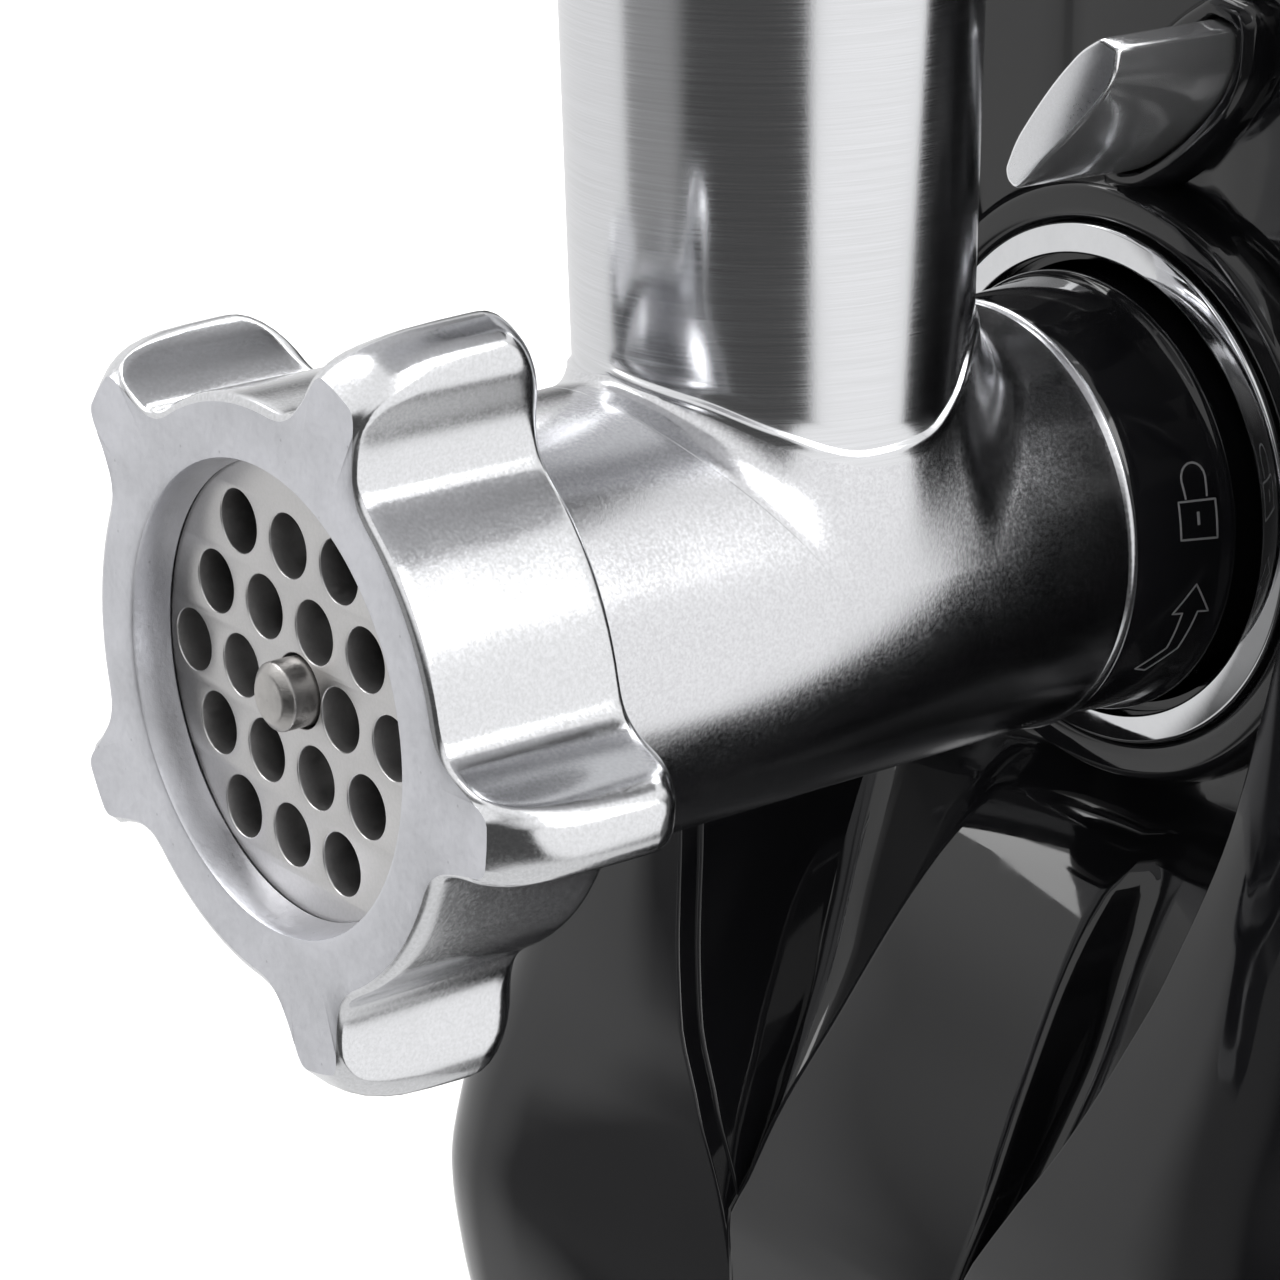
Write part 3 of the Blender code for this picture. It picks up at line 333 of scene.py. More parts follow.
def brushed_metal(name, tint, dark, rough, stretch, line_depth, speckle=0.00001, smudge=0.1):
    """Metal with brush lines across the stretch direction, fine speckle and soft smudges."""
    n = material(name)
    lines = n.noise(n.scaled(stretch), 1.0, 4.0, 0.65)
    grain = n.noise(n.coord, 2600.0, 2.0, 0.6)
    wear = n.ramp(n.noise(n.coord, 45.0, 3.0, 0.55), 0.35, 0.7, -smudge, smudge)
    rough_now = n.math("ADD", n.ramp(lines, 0.3, 0.7, rough - 0.04, rough + 0.06), wear)
    return n.surface(n.mix(n.ramp(lines, 0.35, 0.65), dark, tint), n.math("MAXIMUM", rough_now, 0.03),
                     n.bump(grain, speckle, Normal=n.bump(lines, line_depth)), 1.0)


def satin_metal(name, tint, dark, rough, grain_depth=0.000006, drift=0.03, metallic=1.0):
    """Polished casting under a fine even speckle, with slow drifts in gloss and no brush lines."""
    n = material(name)
    fine = n.noise(n.coord, 2400.0, 3.0, 0.7)
    wear = n.ramp(n.noise(n.coord, 70.0, 3.0, 0.55), 0.35, 0.7, -drift, drift)
    rough_now = n.math("ADD", n.ramp(fine, 0.3, 0.7, rough - 0.04, rough + 0.05), wear)
    return n.surface(n.mix(n.ramp(fine, 0.35, 0.65), dark, tint), rough_now, n.bump(fine, grain_depth),
                     metallic)


def cast_metal(name, tint, dark, rough, pit_depth=0.00006):
    """Bead-blasted casting: fine pitting, a few darker pores and cloudy tone."""
    n = material(name)
    fine = n.noise(n.coord, 1400.0, 4.0, 0.7)
    pore = n.new("ShaderNodeTexVoronoi", {"Vector": n.coord, "Scale": 420.0}).outputs["Distance"]
    pores = n.math("MULTIPLY", n.ramp(pore, 0.03, 0.09, 1.0, 0.0), 0.35)
    tone = n.mix(n.ramp(n.noise(n.coord, 90.0, 4.0, 0.6), 0.35, 0.68), dark, tint)
    return n.surface(n.mix(pores, tone, (0.2, 0.2, 0.21)), n.ramp(fine, 0.3, 0.7, rough - 0.07, rough + 0.09),
                     n.bump(fine, pit_depth), 1.0)


def gloss_plastic(name, tint, rough):
    """High-gloss moulding with faint sink waviness, dust-fine haze and hairline scratches."""
    n = material(name)
    broad = n.noise(n.coord, 22.0, 2.0, 0.5)
    haze = n.ramp(n.noise(n.coord, 300.0, 4.0, 0.6), 0.35, 0.7, rough - 0.02, rough + 0.03)
    scratch = n.noise(n.scaled((40.0, 900.0, 60.0), (0.4, 0.7, 0.2)), 1.0, 2.0, 0.5)
    colour = n.mix(n.ramp(broad, 0.3, 0.7), tint, tuple(c * 1.35 + 0.0008 for c in tint))
    n.set("IOR", 1.52)
    return n.surface(colour, n.math("ADD", haze, n.ramp(scratch, 0.66, 0.8, 0.0, 0.05)),
                     n.bump(broad, 0.00002))


def matte_plastic(name, tint, rough, grain=0.00003, scale=1500.0):
    """Spark-eroded texture: fine grain, slight tone drift."""
    n = material(name)
    fine = n.noise(n.coord, scale, 3.0, 0.7)
    pale = tuple(min(1.0, c * 1.25 + 0.004) for c in tint)
    colour = n.mix(n.ramp(n.noise(n.coord, 60.0, 3.0, 0.5), 0.3, 0.7), tint, pale)
    return n.surface(colour, n.ramp(fine, 0.3, 0.7, rough - 0.06, rough + 0.1), n.bump(fine, grain))


def banded(name, a, b, direction, scale, rough, depth):
    """Stacked or wound metal: fine bands across one direction."""
    n = material(name)
    wave = n.new("ShaderNodeTexWave", {"Vector": n.coord, "Scale": scale, "Distortion": 0.6, "Detail": 2.0,
                                       "Detail Scale": 3.0}, bands_direction=direction).outputs["Fac"]
    return n.surface(n.mix(wave, a, b), n.ramp(wave, 0.0, 1.0, rough + 0.12, rough - 0.05),
                     n.bump(wave, depth), 1.0)


def board_finish(name):
    """Lacquered circuit board with tracks and pads."""
    n = material(name)
    brick = n.new("ShaderNodeTexBrick", {"Vector": n.coord, "Scale": 160.0, "Color1": (0.03, 0.22, 0.09, 1),
                                         "Color2": (0.02, 0.16, 0.06, 1), "Mortar": (0.10, 0.32, 0.12, 1),
                                         "Mortar Size": 0.06})
    return n.surface(brick.outputs["Color"], n.ramp(n.noise(n.coord, 400.0), 0.3, 0.7, 0.25, 0.45),
                     n.bump(brick.outputs["Fac"], 0.00005))


BARREL_METAL = satin_metal("polished_barrel", (0.74, 0.745, 0.765), (0.62, 0.62, 0.64), 0.19, 0.000008)
# The bore's cast finish, its dark tint painted shade standing in for the unlit inside of the head.
BORE_PAINTED_SHADE = cast_metal("cast_bore_painted_shade", (0.14, 0.14, 0.145), (0.08, 0.08, 0.085), 0.5)
TUBE_METAL = brushed_metal("brushed_tube", (0.73, 0.735, 0.755), (0.66, 0.665, 0.68), 0.17,
                           (50.0, 50.0, 5200.0), 0.0000015, 0.000003, 0.03)
NUT_METAL = satin_metal("polished_nut", (0.76, 0.765, 0.785), (0.66, 0.665, 0.68), 0.17, 0.000005)
NUT_FACE = cast_metal("satin_nut_face", (0.70, 0.705, 0.745), (0.59, 0.595, 0.625), 0.36, 0.00003)
PLATE_STEEL = satin_metal("satin_plate", (0.63, 0.62, 0.62), (0.57, 0.565, 0.56), 0.36, 0.000005)
# The knife's dark tint is painted shade: it is seen only in the dark behind the plate's holes.
KNIFE_PAINTED_SHADE = cast_metal("ground_knife_painted_shade", (0.30, 0.30, 0.30), (0.20, 0.20, 0.20), 0.4)
PIN_STEEL = cast_metal("worn_pin", (0.62, 0.60, 0.58), (0.38, 0.37, 0.36), 0.34, 0.00004)
# The screw's dark tint is painted shade: its flight is seen only in the dark through the plate's holes.
SCREW_PAINTED_SHADE = cast_metal("cast_screw_painted_shade", (0.40, 0.40, 0.41), (0.28, 0.28, 0.29), 0.45)
TRAY_METAL = brushed_metal("brushed_tray", (0.66, 0.665, 0.68), (0.58, 0.585, 0.60), 0.24,
                           (30.0, 1800.0, 900.0), 0.000004, 0.000003, 0.05)
# The tray's underside is paler than its top as painted light, so that the head's upper faces mirror a
# brighter surface.
TRAY_UNDER_PAINTED_LIGHT = satin_metal("satin_tray_underside_painted_light", (0.84, 0.84, 0.855), (0.76, 0.76, 0.78), 0.4)
STEEL = brushed_metal("turned_steel", (0.62, 0.61, 0.60), (0.5, 0.49, 0.49), 0.28,
                      (80.0, 1500.0, 80.0), 0.000006)
CHROME = brushed_metal("bright_chrome", (0.70, 0.705, 0.72), (0.66, 0.665, 0.68), 0.05,
                       (200.0, 200.0, 200.0), 0.0000008, 0.0000008, 0.015)
BUTTON_FACE = satin_metal("button_face", (0.74, 0.745, 0.765), (0.66, 0.665, 0.68), 0.3, 0.000004)
BUTTON_BODY = satin_metal("button_body", (0.93, 0.935, 0.95), (0.88, 0.885, 0.9), 0.13, 0.000001, 0.02, 0.9)
GLOSS = gloss_plastic("gloss_black_housing", (0.0045, 0.0045, 0.0052), 0.045)
GLOSS_SLEEVE = gloss_plastic("gloss_black_sleeve", (0.006, 0.006, 0.007), 0.07)
BLACK = matte_plastic("satin_black_plastic", (0.016, 0.016, 0.017), 0.42)
RUBBER = matte_plastic("foot_rubber", (0.025, 0.025, 0.025), 0.78, 0.00006, 900.0)
NYLON = matte_plastic("natural_nylon", (0.78, 0.76, 0.68), 0.5, 0.00004, 700.0)
MARK = matte_plastic("sleeve_mark", (0.22, 0.22, 0.225), 0.35, 0.00001)
WHITE_MARK = matte_plastic("white_mark", (0.72, 0.72, 0.72), 0.4, 0.00001)
COPPER = banded("wound_copper", (0.30, 0.10, 0.035), (0.80, 0.38, 0.18), "Y", 900.0, 0.35, 0.00012)
COMMUTATOR = banded("commutator_bars", (0.12, 0.06, 0.03), (0.80, 0.42, 0.22), "Z", 500.0, 0.3, 0.00008)
LAMINATION = banded("steel_laminations", (0.16, 0.16, 0.17), (0.34, 0.34, 0.36), "Y", 700.0, 0.5, 0.00006)
BOARD = board_finish("circuit_board_lacquer")


# ---------------- ring nut

NUT_R = 31.8
NUT_DEPTH = 22.5
LUG_TIP = 44.4
LUGS = [-6 + 72 * k for k in range(5)]
# degrees from a lug's middle and radius, at full depth and on the front face
LUG_OUTLINE = ((0, LUG_TIP), (1.5, 44.35), (3, 44), (4.2, 43.3), (5.2, 42.2), (5.9, 40.9), (6.4, 39.4),
               (7, 37.7), (7.8, 36.1), (8.9, 34.6), (10.3, 33.3), (12.2, 32.4), (14.5, 31.95), (17, NUT_R))
LUG_FACE = ((0, 39.4), (3.5, 39.35), (4.6, 39), (5.6, 38), (6.4, 36.6), (7.4, 35.2), (8.6, 33.9), (10, 32.7),
            (12, 31.7), (14, 31.1), (17, 30.8))
# share of the front curve's depth and of its rise
FRONT_CURVE = ((0, 0), (0.0625, 0.22), (0.12, 0.40), (0.2, 0.58), (0.29, 0.72), (0.41, 0.84), (0.54, 0.92),
               (0.75, 0.97), (1, 1))
LUG_STEPS = (0, 1, 2, 3, 3.6, 4.2, 4.7, 5.2, 5.6, 5.9, 6.15, 6.4, 6.7, 7, 7.4, 7.8, 8.3, 8.9, 9.6, 10.3, 11.2,
             12.2, 13.3, 14.5, 15.7, 17, 19.5, 22.5, 26, 30, 33)


def nut_profile(away):
    """(y, radius) pairs of the nut's section, by degrees from the nearest lug's middle."""
    outer = smooth_value(LUG_OUTLINE, away)
    face = smooth_value(LUG_FACE, away)
    high = (outer - NUT_R) / (LUG_TIP - NUT_R)
    t = min(1, max(0, (7 - away) / 3))
    curve = 1.05 + 15 * t * t * (3 - 2 * t)
    profile = [(4.5, 28.4), (4.5, 24.45), (4.3, 24.3), (2.4, 24.62), (0.45, 24.95), (0.12, 25.12), (0, 25.5),
               (0, 27.5), (0, 29.4)]
    for share in (0, 0.02, 0.0625, 0.12, 0.2, 0.29, 0.41, 0.54, 0.75, 1):
        profile.append((curve * share, face + (outer - face) * smooth_value(FRONT_CURVE, share)))
    rear = 1 + 4.4 * high
    profile += [(curve + (NUT_DEPTH - rear - curve) * s, outer) for s in (0.05, 0.35, 0.65, 0.95, 1)]
    last = 30.8 + 0.36 * (outer - NUT_R)
    for k in range(1, 10):
        t = pi / 2 * k / 9
        profile.append((NUT_DEPTH - rear + rear * sin(t), last + (outer - last) * cos(t)))
    profile += [(NUT_DEPTH, 30.7), (NUT_DEPTH - 0.5, 30.2)]
    y = NUT_DEPTH - 1
    while y > 7:
        profile += [(y, 30.2), (y - 0.45, 29.9), (y - 0.75, 29.9), (y - 1.2, 30.2)]
        y -= 1.5
    return profile + [(6.4, 29.9), (4.5, 29.9)]


def ring_nut():
    rings = []
    for lug in LUGS:
        offsets = sorted({-s for s in LUG_STEPS} | set(LUG_STEPS) | {36})
        for s in offsets:
            a = radians(lug + s)
            rings.append([(r * cos(a), y, r * sin(a)) for y, r in nut_profile(abs(s))])
    shape = Shape().loft(rings, around=True, loop=True)
    shape.paint(lambda x, y, z: y < 0.06)
    shape.paint(lambda x, y, z: y < 4.55 and hypot(x, z) < 25.6)
    shape.piece("ring_nut_body", "ring_nut", [NUT_METAL, NUT_FACE], "ring_nut", 42)


PLATE_FRONT, PLATE_REAR, PLATE_R, PLATE_EDGE = 4.6, 10.1, 26.8, 0.18
HOLE_PITCH, HOLE_R, PIN_HOLE_R = 9.2, 3.4, 4


def cutting_plate():
    """A disc across y with finely broken edges, its holes off centre and turned as in the photo."""
    flat = bpy.data.curves.new("plate_outline", "CURVE")
    flat.dimensions = "2D"
    flat.fill_mode = "BOTH"
    flat.extrude = (PLATE_REAR - PLATE_FRONT) / 2 - PLATE_EDGE
    flat.bevel_depth = PLATE_EDGE
    flat.bevel_resolution = 2

    def ring(x, z, r, count=48):
        spline = flat.splines.new("POLY")
        spline.points.add(count - 1)
        for point, place_at in zip(spline.points, circle(r, 0, count, (x, z), True)):
            point.co = (*place_at, 1)
        spline.use_cyclic_u = True

    ring(0, 0, PLATE_R - PLATE_EDGE, 160)
    ring(0, 0, PIN_HOLE_R + PLATE_EDGE)
    (right, up), turn = (-1.65, -0.6), radians(-2.5)
    for row, count in enumerate((3, 4, 5, 4, 3)):
        for i in range(count):
            x = (i - (count - 1) / 2) * HOLE_PITCH
            z = (2 - row) * (HOLE_PITCH * sqrt(3) / 2)
            if hypot(x, z) > HOLE_PITCH / 2:
                ring(x * cos(turn) - z * sin(turn) + right, x * sin(turn) + z * cos(turn) + up,
                     HOLE_R + PLATE_EDGE)
    temp = add("plate_temp", flat)
    bpy.context.view_layer.update()
    mesh = bpy.data.meshes.new_from_object(temp.evaluated_get(bpy.context.evaluated_depsgraph_get()))
    shape = Shape()
    middle = (PLATE_FRONT + PLATE_REAR) / 2
    shape.verts = [(v.co.x, middle - v.co.z, v.co.y) for v in mesh.vertices]
    shape.faces = [tuple(p.vertices) for p in mesh.polygons]
    shape.mats = [0] * len(shape.faces)
    bpy.data.objects.remove(temp)
    bpy.data.curves.remove(flat)
    bpy.data.meshes.remove(mesh)
    shape.piece("cutting_plate_disc", "head", PLATE_STEEL, "cutting_plate", 30)


# ---------------- screw and knife

SCREW_FRONT, SCREW_REAR, SCREW_R, SCREW_PITCH = 16.4, 91.5, 20.9, 27


def auger():
    """Pin, square shank, tapering core with one flight, and journal."""
    shape = Shape()
    pin = [(0.9, 0.001)] + rounded([(0.9, 0.6), (0.9, 2.6), (1.75, 3.7), (9, 3.7), (10.3, 3.7)], 0.25, 3)
    shape.lathe(pin, 48)
    angles = [tau * i / 72 for i in range(72)]
    steps = 150
    rings = []
    for y, half in ((10.3, 4.4), (16.2, 4.4)):
        radii = [half / max(abs(cos(a)), abs(sin(a))) * 0.99 for a in angles]
        rings.append([(r * cos(a), y, r * sin(a)) for a, r in zip(angles, radii)])
    for k in range(steps + 1):
        y = SCREW_FRONT + (SCREW_REAR - SCREW_FRONT) * k / steps
        core = 10.5 - 2.5 * k / steps
        ring = []
        for a in angles:
            phase = (y / SCREW_PITCH + a / tau) % 1
            lift = min(1, max(0, 1 - abs(phase - 0.5) / 0.16) * 1.7)
            lift = lift * lift * (3 - 2 * lift)
            r = core + (SCREW_R - core) * lift
            ring.append((r * cos(a), y, r * sin(a)))
        rings.append(ring)
    shape.loft(rings, mat=1)
    journal = [(SCREW_REAR, 8), (SCREW_REAR + 0.2, 9.75), (116, 9.75), (117, 8.9), (117, 0.001)]
    shape.lathe(rounded(journal, 0.3, 2), 64, mat=1)
    # the flight takes the darkened screw metal: painted shade
    shape.piece("auger_screw", "auger", [PIN_STEEL, SCREW_PAINTED_SHADE], "auger", 40)


# ---------------- head casting

BARREL, BORE = 24.75, 21.5
FEED_Y, FEED_BORE, TUBE_LOW = 67, 19.3, 99
# degrees round the tube from its front, and the height of the bead at its foot
BEAD = ((0, 26.4), (31, 24.5), (53, 21.5), (78, 18.6), (98, 19.2), (113, 22.2), (125, 26.5), (145, 28.6),
        (180, 29.2))
# the same degrees, and how far out the blend below the bead reaches
BLEND_REACH = ((0, 2.6), (60, 3.2), (100, 3.6), (140, 5), (180, 6.5))


def feed_radius(z):
    return 22.5 + 0.02 * (z - 60)


def barrel():
    outer = rounded([(5.2, 27.1), (5.2, 29.4), (20.5, 29.4), (24.2, BARREL), (96.9, BARREL)], 0.6, 3)
    outer += [(97.3, BARREL + 0.05), (97.6, BARREL + 0.32), (98, BARREL + 0.45), (98.4, BARREL + 0.32),
              (98.6, BARREL), (98.6, 22.3)]
    rear = rounded([(98.6, 22.3), (98.6, 22), (118, 22), (118, 10.3), (95, 10.3), (95, BORE),
                    (15.6, BORE), (15.6, 27.1), (5.2, 27.1)], 0.3, 2)
    full = []
    for a, b in zip(outer + rear[1:], outer[1:] + rear[1:] + outer[:1]):
        k = max(1, round(abs(b[0] - a[0]) / 0.8))
        full += [(a[0] + (b[0] - a[0]) * i / k, a[1] + (b[1] - a[1]) * i / k) for i in range(k)]
    shape = Shape().lathe(full, 176, loop=True)
    kept = []
    for quad in shape.faces:
        cx, cy, cz = (sum(shape.verts[i][k] for i in quad) / 4 for k in range(3))
        if cz <= 0 or hypot(cx, cy - FEED_Y) >= 20.9:
            kept.append(quad)
    shape.faces, shape.mats = kept, [0] * len(kept)
    # the bore's faces take the darkened cast metal: painted shade of the inside
    shape.paint(lambda x, y, z: hypot(x, z) < BORE + 0.2)
    shape.piece("head_barrel", "head", [BARREL_METAL, BORE_PAINTED_SHADE], "head_casting", 32)


def feed_tube():
    """The tube down to its bead, the blend onto the barrel below that, and the bore."""
    tube = Shape()
    count, blend = 144, 14
    angles = [360 * i / count for i in range(count)]
    from_front = [a if a <= 180 else 360 - a for a in angles]
    lines = [smooth_value(BEAD, a) for a in from_front]

    def row(heights, radii):
        return [(r * sin(radians(a)), FEED_Y - r * cos(radians(a)), z)
                for a, z, r in zip(angles, heights, radii)]

    neck = rounded([(112, FEED_BORE), (112, 24.6), (100.5, 24.6), (TUBE_LOW, feed_radius(TUBE_LOW))], 0.5, 4)
    rows = [row([z] * count, [r] * count) for z, r in neck[:-1]]
    for f in (0, 0.03, 0.1, 0.2, 0.32, 0.45, 0.58, 0.7, 0.8, 0.88, 0.94, 0.975, 1):
        heights = [TUBE_LOW + (line + 0.9 - TUBE_LOW) * f for line in lines]
        rows.append(row(heights, [feed_radius(z) for z in heights]))
    for up, out in ((0.72, 0.10), (0.52, 0.30), (0.26, 0.46), (0, 0.52), (-0.25, 0.50)):
        heights = [line + up for line in lines]
        rows.append(row(heights, [feed_radius(z) + out for z in heights]))
    below = len(rows) * count
    table = []
    for a, away, line in zip(angles, from_front, lines):
        s, c = sin(radians(a)), cos(radians(a))

        def on_barrel(r, lift):
            return Vector((r * s, FEED_Y - r * c, sqrt((BARREL + lift) ** 2 - (r * s) ** 2)))

        r = feed_radius(line) + 0.50
        top = Vector((r * s, FEED_Y - r * c, line - 0.25))
        far = min(22.5 + smooth_value(BLEND_REACH, away), 24.2 / max(abs(s), 0.01))
        foot = on_barrel(far, 0.02)
        fall = -far * s * s / foot.z
        turn = Vector((22.9 * s, FEED_Y - 22.9 * c, min(foot.z + fall * (22.9 - far), line - 0.6)))
        column = [top * (1 - t) ** 2 + turn * 2 * t * (1 - t) + foot * t * t for t in
                  [(k + 1) / blend for k in range(blend)]]
        seam = on_barrel(min(far + 0.4, 24.4 / max(abs(s), 0.01)), 0.03)
        table.append(column + [seam, Vector((seam.x * 0.985, seam.y - c * 0.6, seam.z * 0.985))])
    rows += [[tuple(column[k]) for column in table] for k in range(blend + 2)]
    tube.loft(rows)
    for f, quad in enumerate(tube.faces):
        if min(quad) >= below:
            tube.mats[f] = 1
    inner = [row([z] * count, [FEED_BORE] * count) for z in (112, 80, 50, 30)]
    for r, bore in ((FEED_BORE, BORE), (21.3, 21.55)):
        heights = [sqrt(bore ** 2 - (r * sin(radians(a))) ** 2) + 0.1 for a in angles]
        inner.append(row(heights, [r] * count))
    tube.loft(inner)
    tube.piece("head_feed_tube", "head", [TUBE_METAL, BARREL_METAL], "head_casting", 32)


# ---------------- lock sleeve and socket

def sleeve_radius(y):
    return smooth_value(((98.9, 24.35), (104, 24.8), (110, 25.25), (111.6, 25.4), (112.6, 25.75)), y)


def lock_sleeve():
    profile = [(98.9, 22.4), (98.9, 24.2)]
    profile += [(y, sleeve_radius(y)) for y in (99.2, 101, 103, 105, 107, 109, 110.6)]
    profile += [(111.2, 25.42), (111.7, 25.75), (112.1, 25.95), (112.6, 25.98), (113, 25.8), (113.2, 25.4),
                (113.5, 25.2), (133, 25.2), (134, 24.8), (134, 22.6), (133.6, 22.4)]
    shape = Shape().lathe(profile, 160, loop=True)
    shape.piece("lock_sleeve_body", "lock_sleeve", GLOSS_SLEEVE, "lock_sleeve", 40)


def ribbon(shape, path, width, closed=False, lift=0.06):
    """A flat raised line that follows the sleeve; path holds (degrees round, y) pairs."""
    path = dense(path, closed)
    n = len(path)
    rows = []
    for i, (deg, y) in enumerate(path):
        a0 = path[(i - 1) % n] if closed or i > 0 else path[i]
        a1 = path[(i + 1) % n] if closed or i < n - 1 else path[i]
        scale = radians(1) * 25.2
        d = ((a1[0] - a0[0]) * scale, a1[1] - a0[1])
        length = max(hypot(*d), 1e-6)
        side = (-d[1] / length * width / 2, d[0] / length * width / 2)
        row = []
        for s, up in ((-1, -0.05), (-1, lift * 0.8), (-0.8, lift), (0.8, lift), (1, lift * 0.8), (1, -0.05)):
            deg_now = radians(deg + s * side[0] / scale)
            y_now = y + s * side[1]
            r = sleeve_radius(y_now) + up
            row.append((r * cos(deg_now), y_now, r * sin(deg_now)))
        rows.append(row)
    shape.loft(rows, loop=closed, cap_start=not closed, cap_end=not closed)


def dense(path, closed, step=0.35):
    """More points along straight stretches, so that a line hugs the round sleeve."""
    out = []
    n = len(path)
    for i in range(n if closed else n - 1):
        a, b = path[i], path[(i + 1) % n]
        length = hypot((b[0] - a[0]) * 0.44, b[1] - a[1])
        k = max(1, int(length / step))
        out += [(a[0] + (b[0] - a[0]) * j / k, a[1] + (b[1] - a[1]) * j / k) for j in range(k)]
    if not closed:
        out.append(path[-1])
    return out


def sleeve_marks():
    """A plain padlock and an arrow, raised a hair on the sleeve."""
    shape = Shape()
    ribbon(shape, [(13.5, 105.2), (12.3, 110.4), (2.2, 110.4), (3.6, 105.2)], 0.24, True)
    bow = [(13.8, 106.3)] + [(18.5 + 4.2 * sin(radians(t)), 107.8 - 1.7 * cos(radians(t)))
                             for t in range(0, 181, 20)] + [(13.4, 109.3)]
    ribbon(shape, bow, 0.24)
    ribbon(shape, [(10, 107.8), (6.6, 107.8)], 0.36)
    arrow = [(-9.5, 107.9), (-18.5, 110.6), (-18, 109), (-30, 108.2), (-37, 105), (-35.5, 103.2),
             (-29, 106.4), (-17.6, 106.7), (-17.2, 105.2)]
    ribbon(shape, arrow, 0.22, True)
    shape.piece("lock_sleeve_marks", "lock_sleeve", MARK, None, 30, "lock_sleeve")


def socket_parts():
    inner = [(117.6, 26.3)] + rounded([(117.5, 26.35), (117.5, 31), (116.2, 31.6), (115.9, 32.4),
                                       (116, 35.2), (118.6, 36.4), (120.95, 36.9)], 0.9, 5)
    inner += [(121.4, 36.7), (121.4, 30), (141, 30), (141, 10.1), (138, 10.1), (138, 26.3)]
    shape = Shape().lathe(inner, 144, loop=True)
    shape.piece("head_socket_collar", "housing", GLOSS, "head_socket", 38)
    ring = rounded([(117.2, 27.4), (114.9, 27.4), (115.5, 30.95), (117.2, 30.95)], 0.45, 4)
    Shape().lathe(ring, 160, loop=True).piece("socket_trim_ring", "housing", CHROME, "socket_ring", 50)


# ---------------- lock button

# x, z, corner radius, and how far the corner has moved in x and z where the button enters the wall
BUTTON_LEAF = ((-1.34, 38.14, 1.2, 0.4, -0.4), (-1.73, 39.52, 1, 0, 0), (-0.07, 43.16, 2.2, 0, 0),
               (3.28, 47.52, 2.6, 0, 0), (6.58, 51.34, 2.6, 0, 0), (10.3, 54.9, 2.2, 0.6, -0.2),
               (13.3, 56.6, 0.7, 1.3, 0.3), (16.2, 55.7, 0.7, 1.8, 0.5), (15.7, 52.41, 1.6, 2.1, -0.6),
               (13.9, 49.8, 1.6, 2.2, -1.4), (11.1, 46.99, 2, 2.1, -1.8), (8, 44.09, 2, 1.9, -1.8),
               (5.15, 41.68, 2, 1.8, -1.7), (2.13, 38.76, 1.2, 1.2, -0.9), (0.08, 37.3, 0.8, 0.5, -0.1))
# where the cap's side starts behind its rounded edge, and where it has flared out fully
BUTTON_FRONT, BUTTON_WALL = 102.6, 115


def button_outline(share, inwards=0):
    """The button's outline, from its face (share 0) to the wall (share 1), pulled in or let out."""
    corners = [(x + dx * share, z + dz * share, r) for x, z, r, dx, dz in BUTTON_LEAF]
    n = len(corners)
    soft = []
    for i, (x, z, r) in enumerate(corners):
        a, b = corners[i - 1], corners[(i + 1) % n]
        soft += rounded([a[:2], (x, z), b[:2]], r, 5)[1:-1]
    n = len(soft)
    out = []
    for i, (x, z) in enumerate(soft):
        a, b = soft[i - 1], soft[(i + 1) % n]
        dx, dz = b[0] - a[0], b[1] - a[1]
        length = max(hypot(dx, dz), 1e-6)
        out.append((x + dz / length * inwards, z - dx / length * inwards))
    return out


def lock_button():
    """The cap, and the raised rim round its opening in the cover."""
    loops = []
    levels = [(102, 0.45), (102.08, 0.22), (102.3, 0.06)]
    levels += [(y, 0) for y in (BUTTON_FRONT, 104.5, 107, 110, 113, BUTTON_WALL, 118, 124, 133)]
    for y, inwards in levels:
        share = min(1, max(0, (y - BUTTON_FRONT) / (BUTTON_WALL - BUTTON_FRONT)))
        loops.append(at_depth(button_outline(share, inwards), y))
    shape = Shape().loft(loops, cap_start=True, cap_end=True)
    shape.mats[-2] = 1
    shape.piece("lock_button_cap", "lock_button", [BUTTON_BODY, BUTTON_FACE], "lock_button", 30)
    rows = []
    for y, outwards in ((121.5, 0.36), (117.9, 0.36), (117.5, 0.7), (117.45, 1.4), (117.8, 2.1), (118.8, 2.7),
                        (120.2, 3.1), (121.5, 3.3)):
        rows.append(at_depth(button_outline(1, -outwards), y))
    pad = Shape().loft(rows, loop=True)
    pad.piece("lock_button_surround", "housing", GLOSS, None, 40, "front_cover")


def coil_spring(name, node, axis, turns, wire, towards_high):
    """A wound spring in its node's box."""
    low, high = [Vector((p[0] / MM, (p[1] - AXIS_Y) / MM, (p[2] - AXIS_Z) / MM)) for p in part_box(node)]
    middle = (low + high) / 2
    others = [k for k in range(3) if k != axis]
    length = high[axis] - low[axis]
    mean = (high[others[0]] - low[others[0]]) / 2 - wire
    rows = []
    steps, sides = 28 * turns, 10
    for i in range(steps + 1):
        a = tau * turns * i / steps
        row = []
        for k in range(sides):
            b = tau * k / sides
            p = [0, 0, 0]
            p[axis] = low[axis] + wire + (length - 2 * wire) * i / steps + wire * sin(b)
            p[others[0]] = middle[others[0]] + (mean + wire * cos(b)) * cos(a)
            p[others[1]] = middle[others[1]] + (mean + wire * cos(b)) * sin(a)
            row.append(tuple(p))
        rows.append(row)
    made = Shape().loft(rows, cap_start=True, cap_end=True).piece(name, "housing", STEEL, node, 50)
    middle[axis] = high[axis] if towards_high else low[axis]
    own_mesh(made)


# ---------------- housing

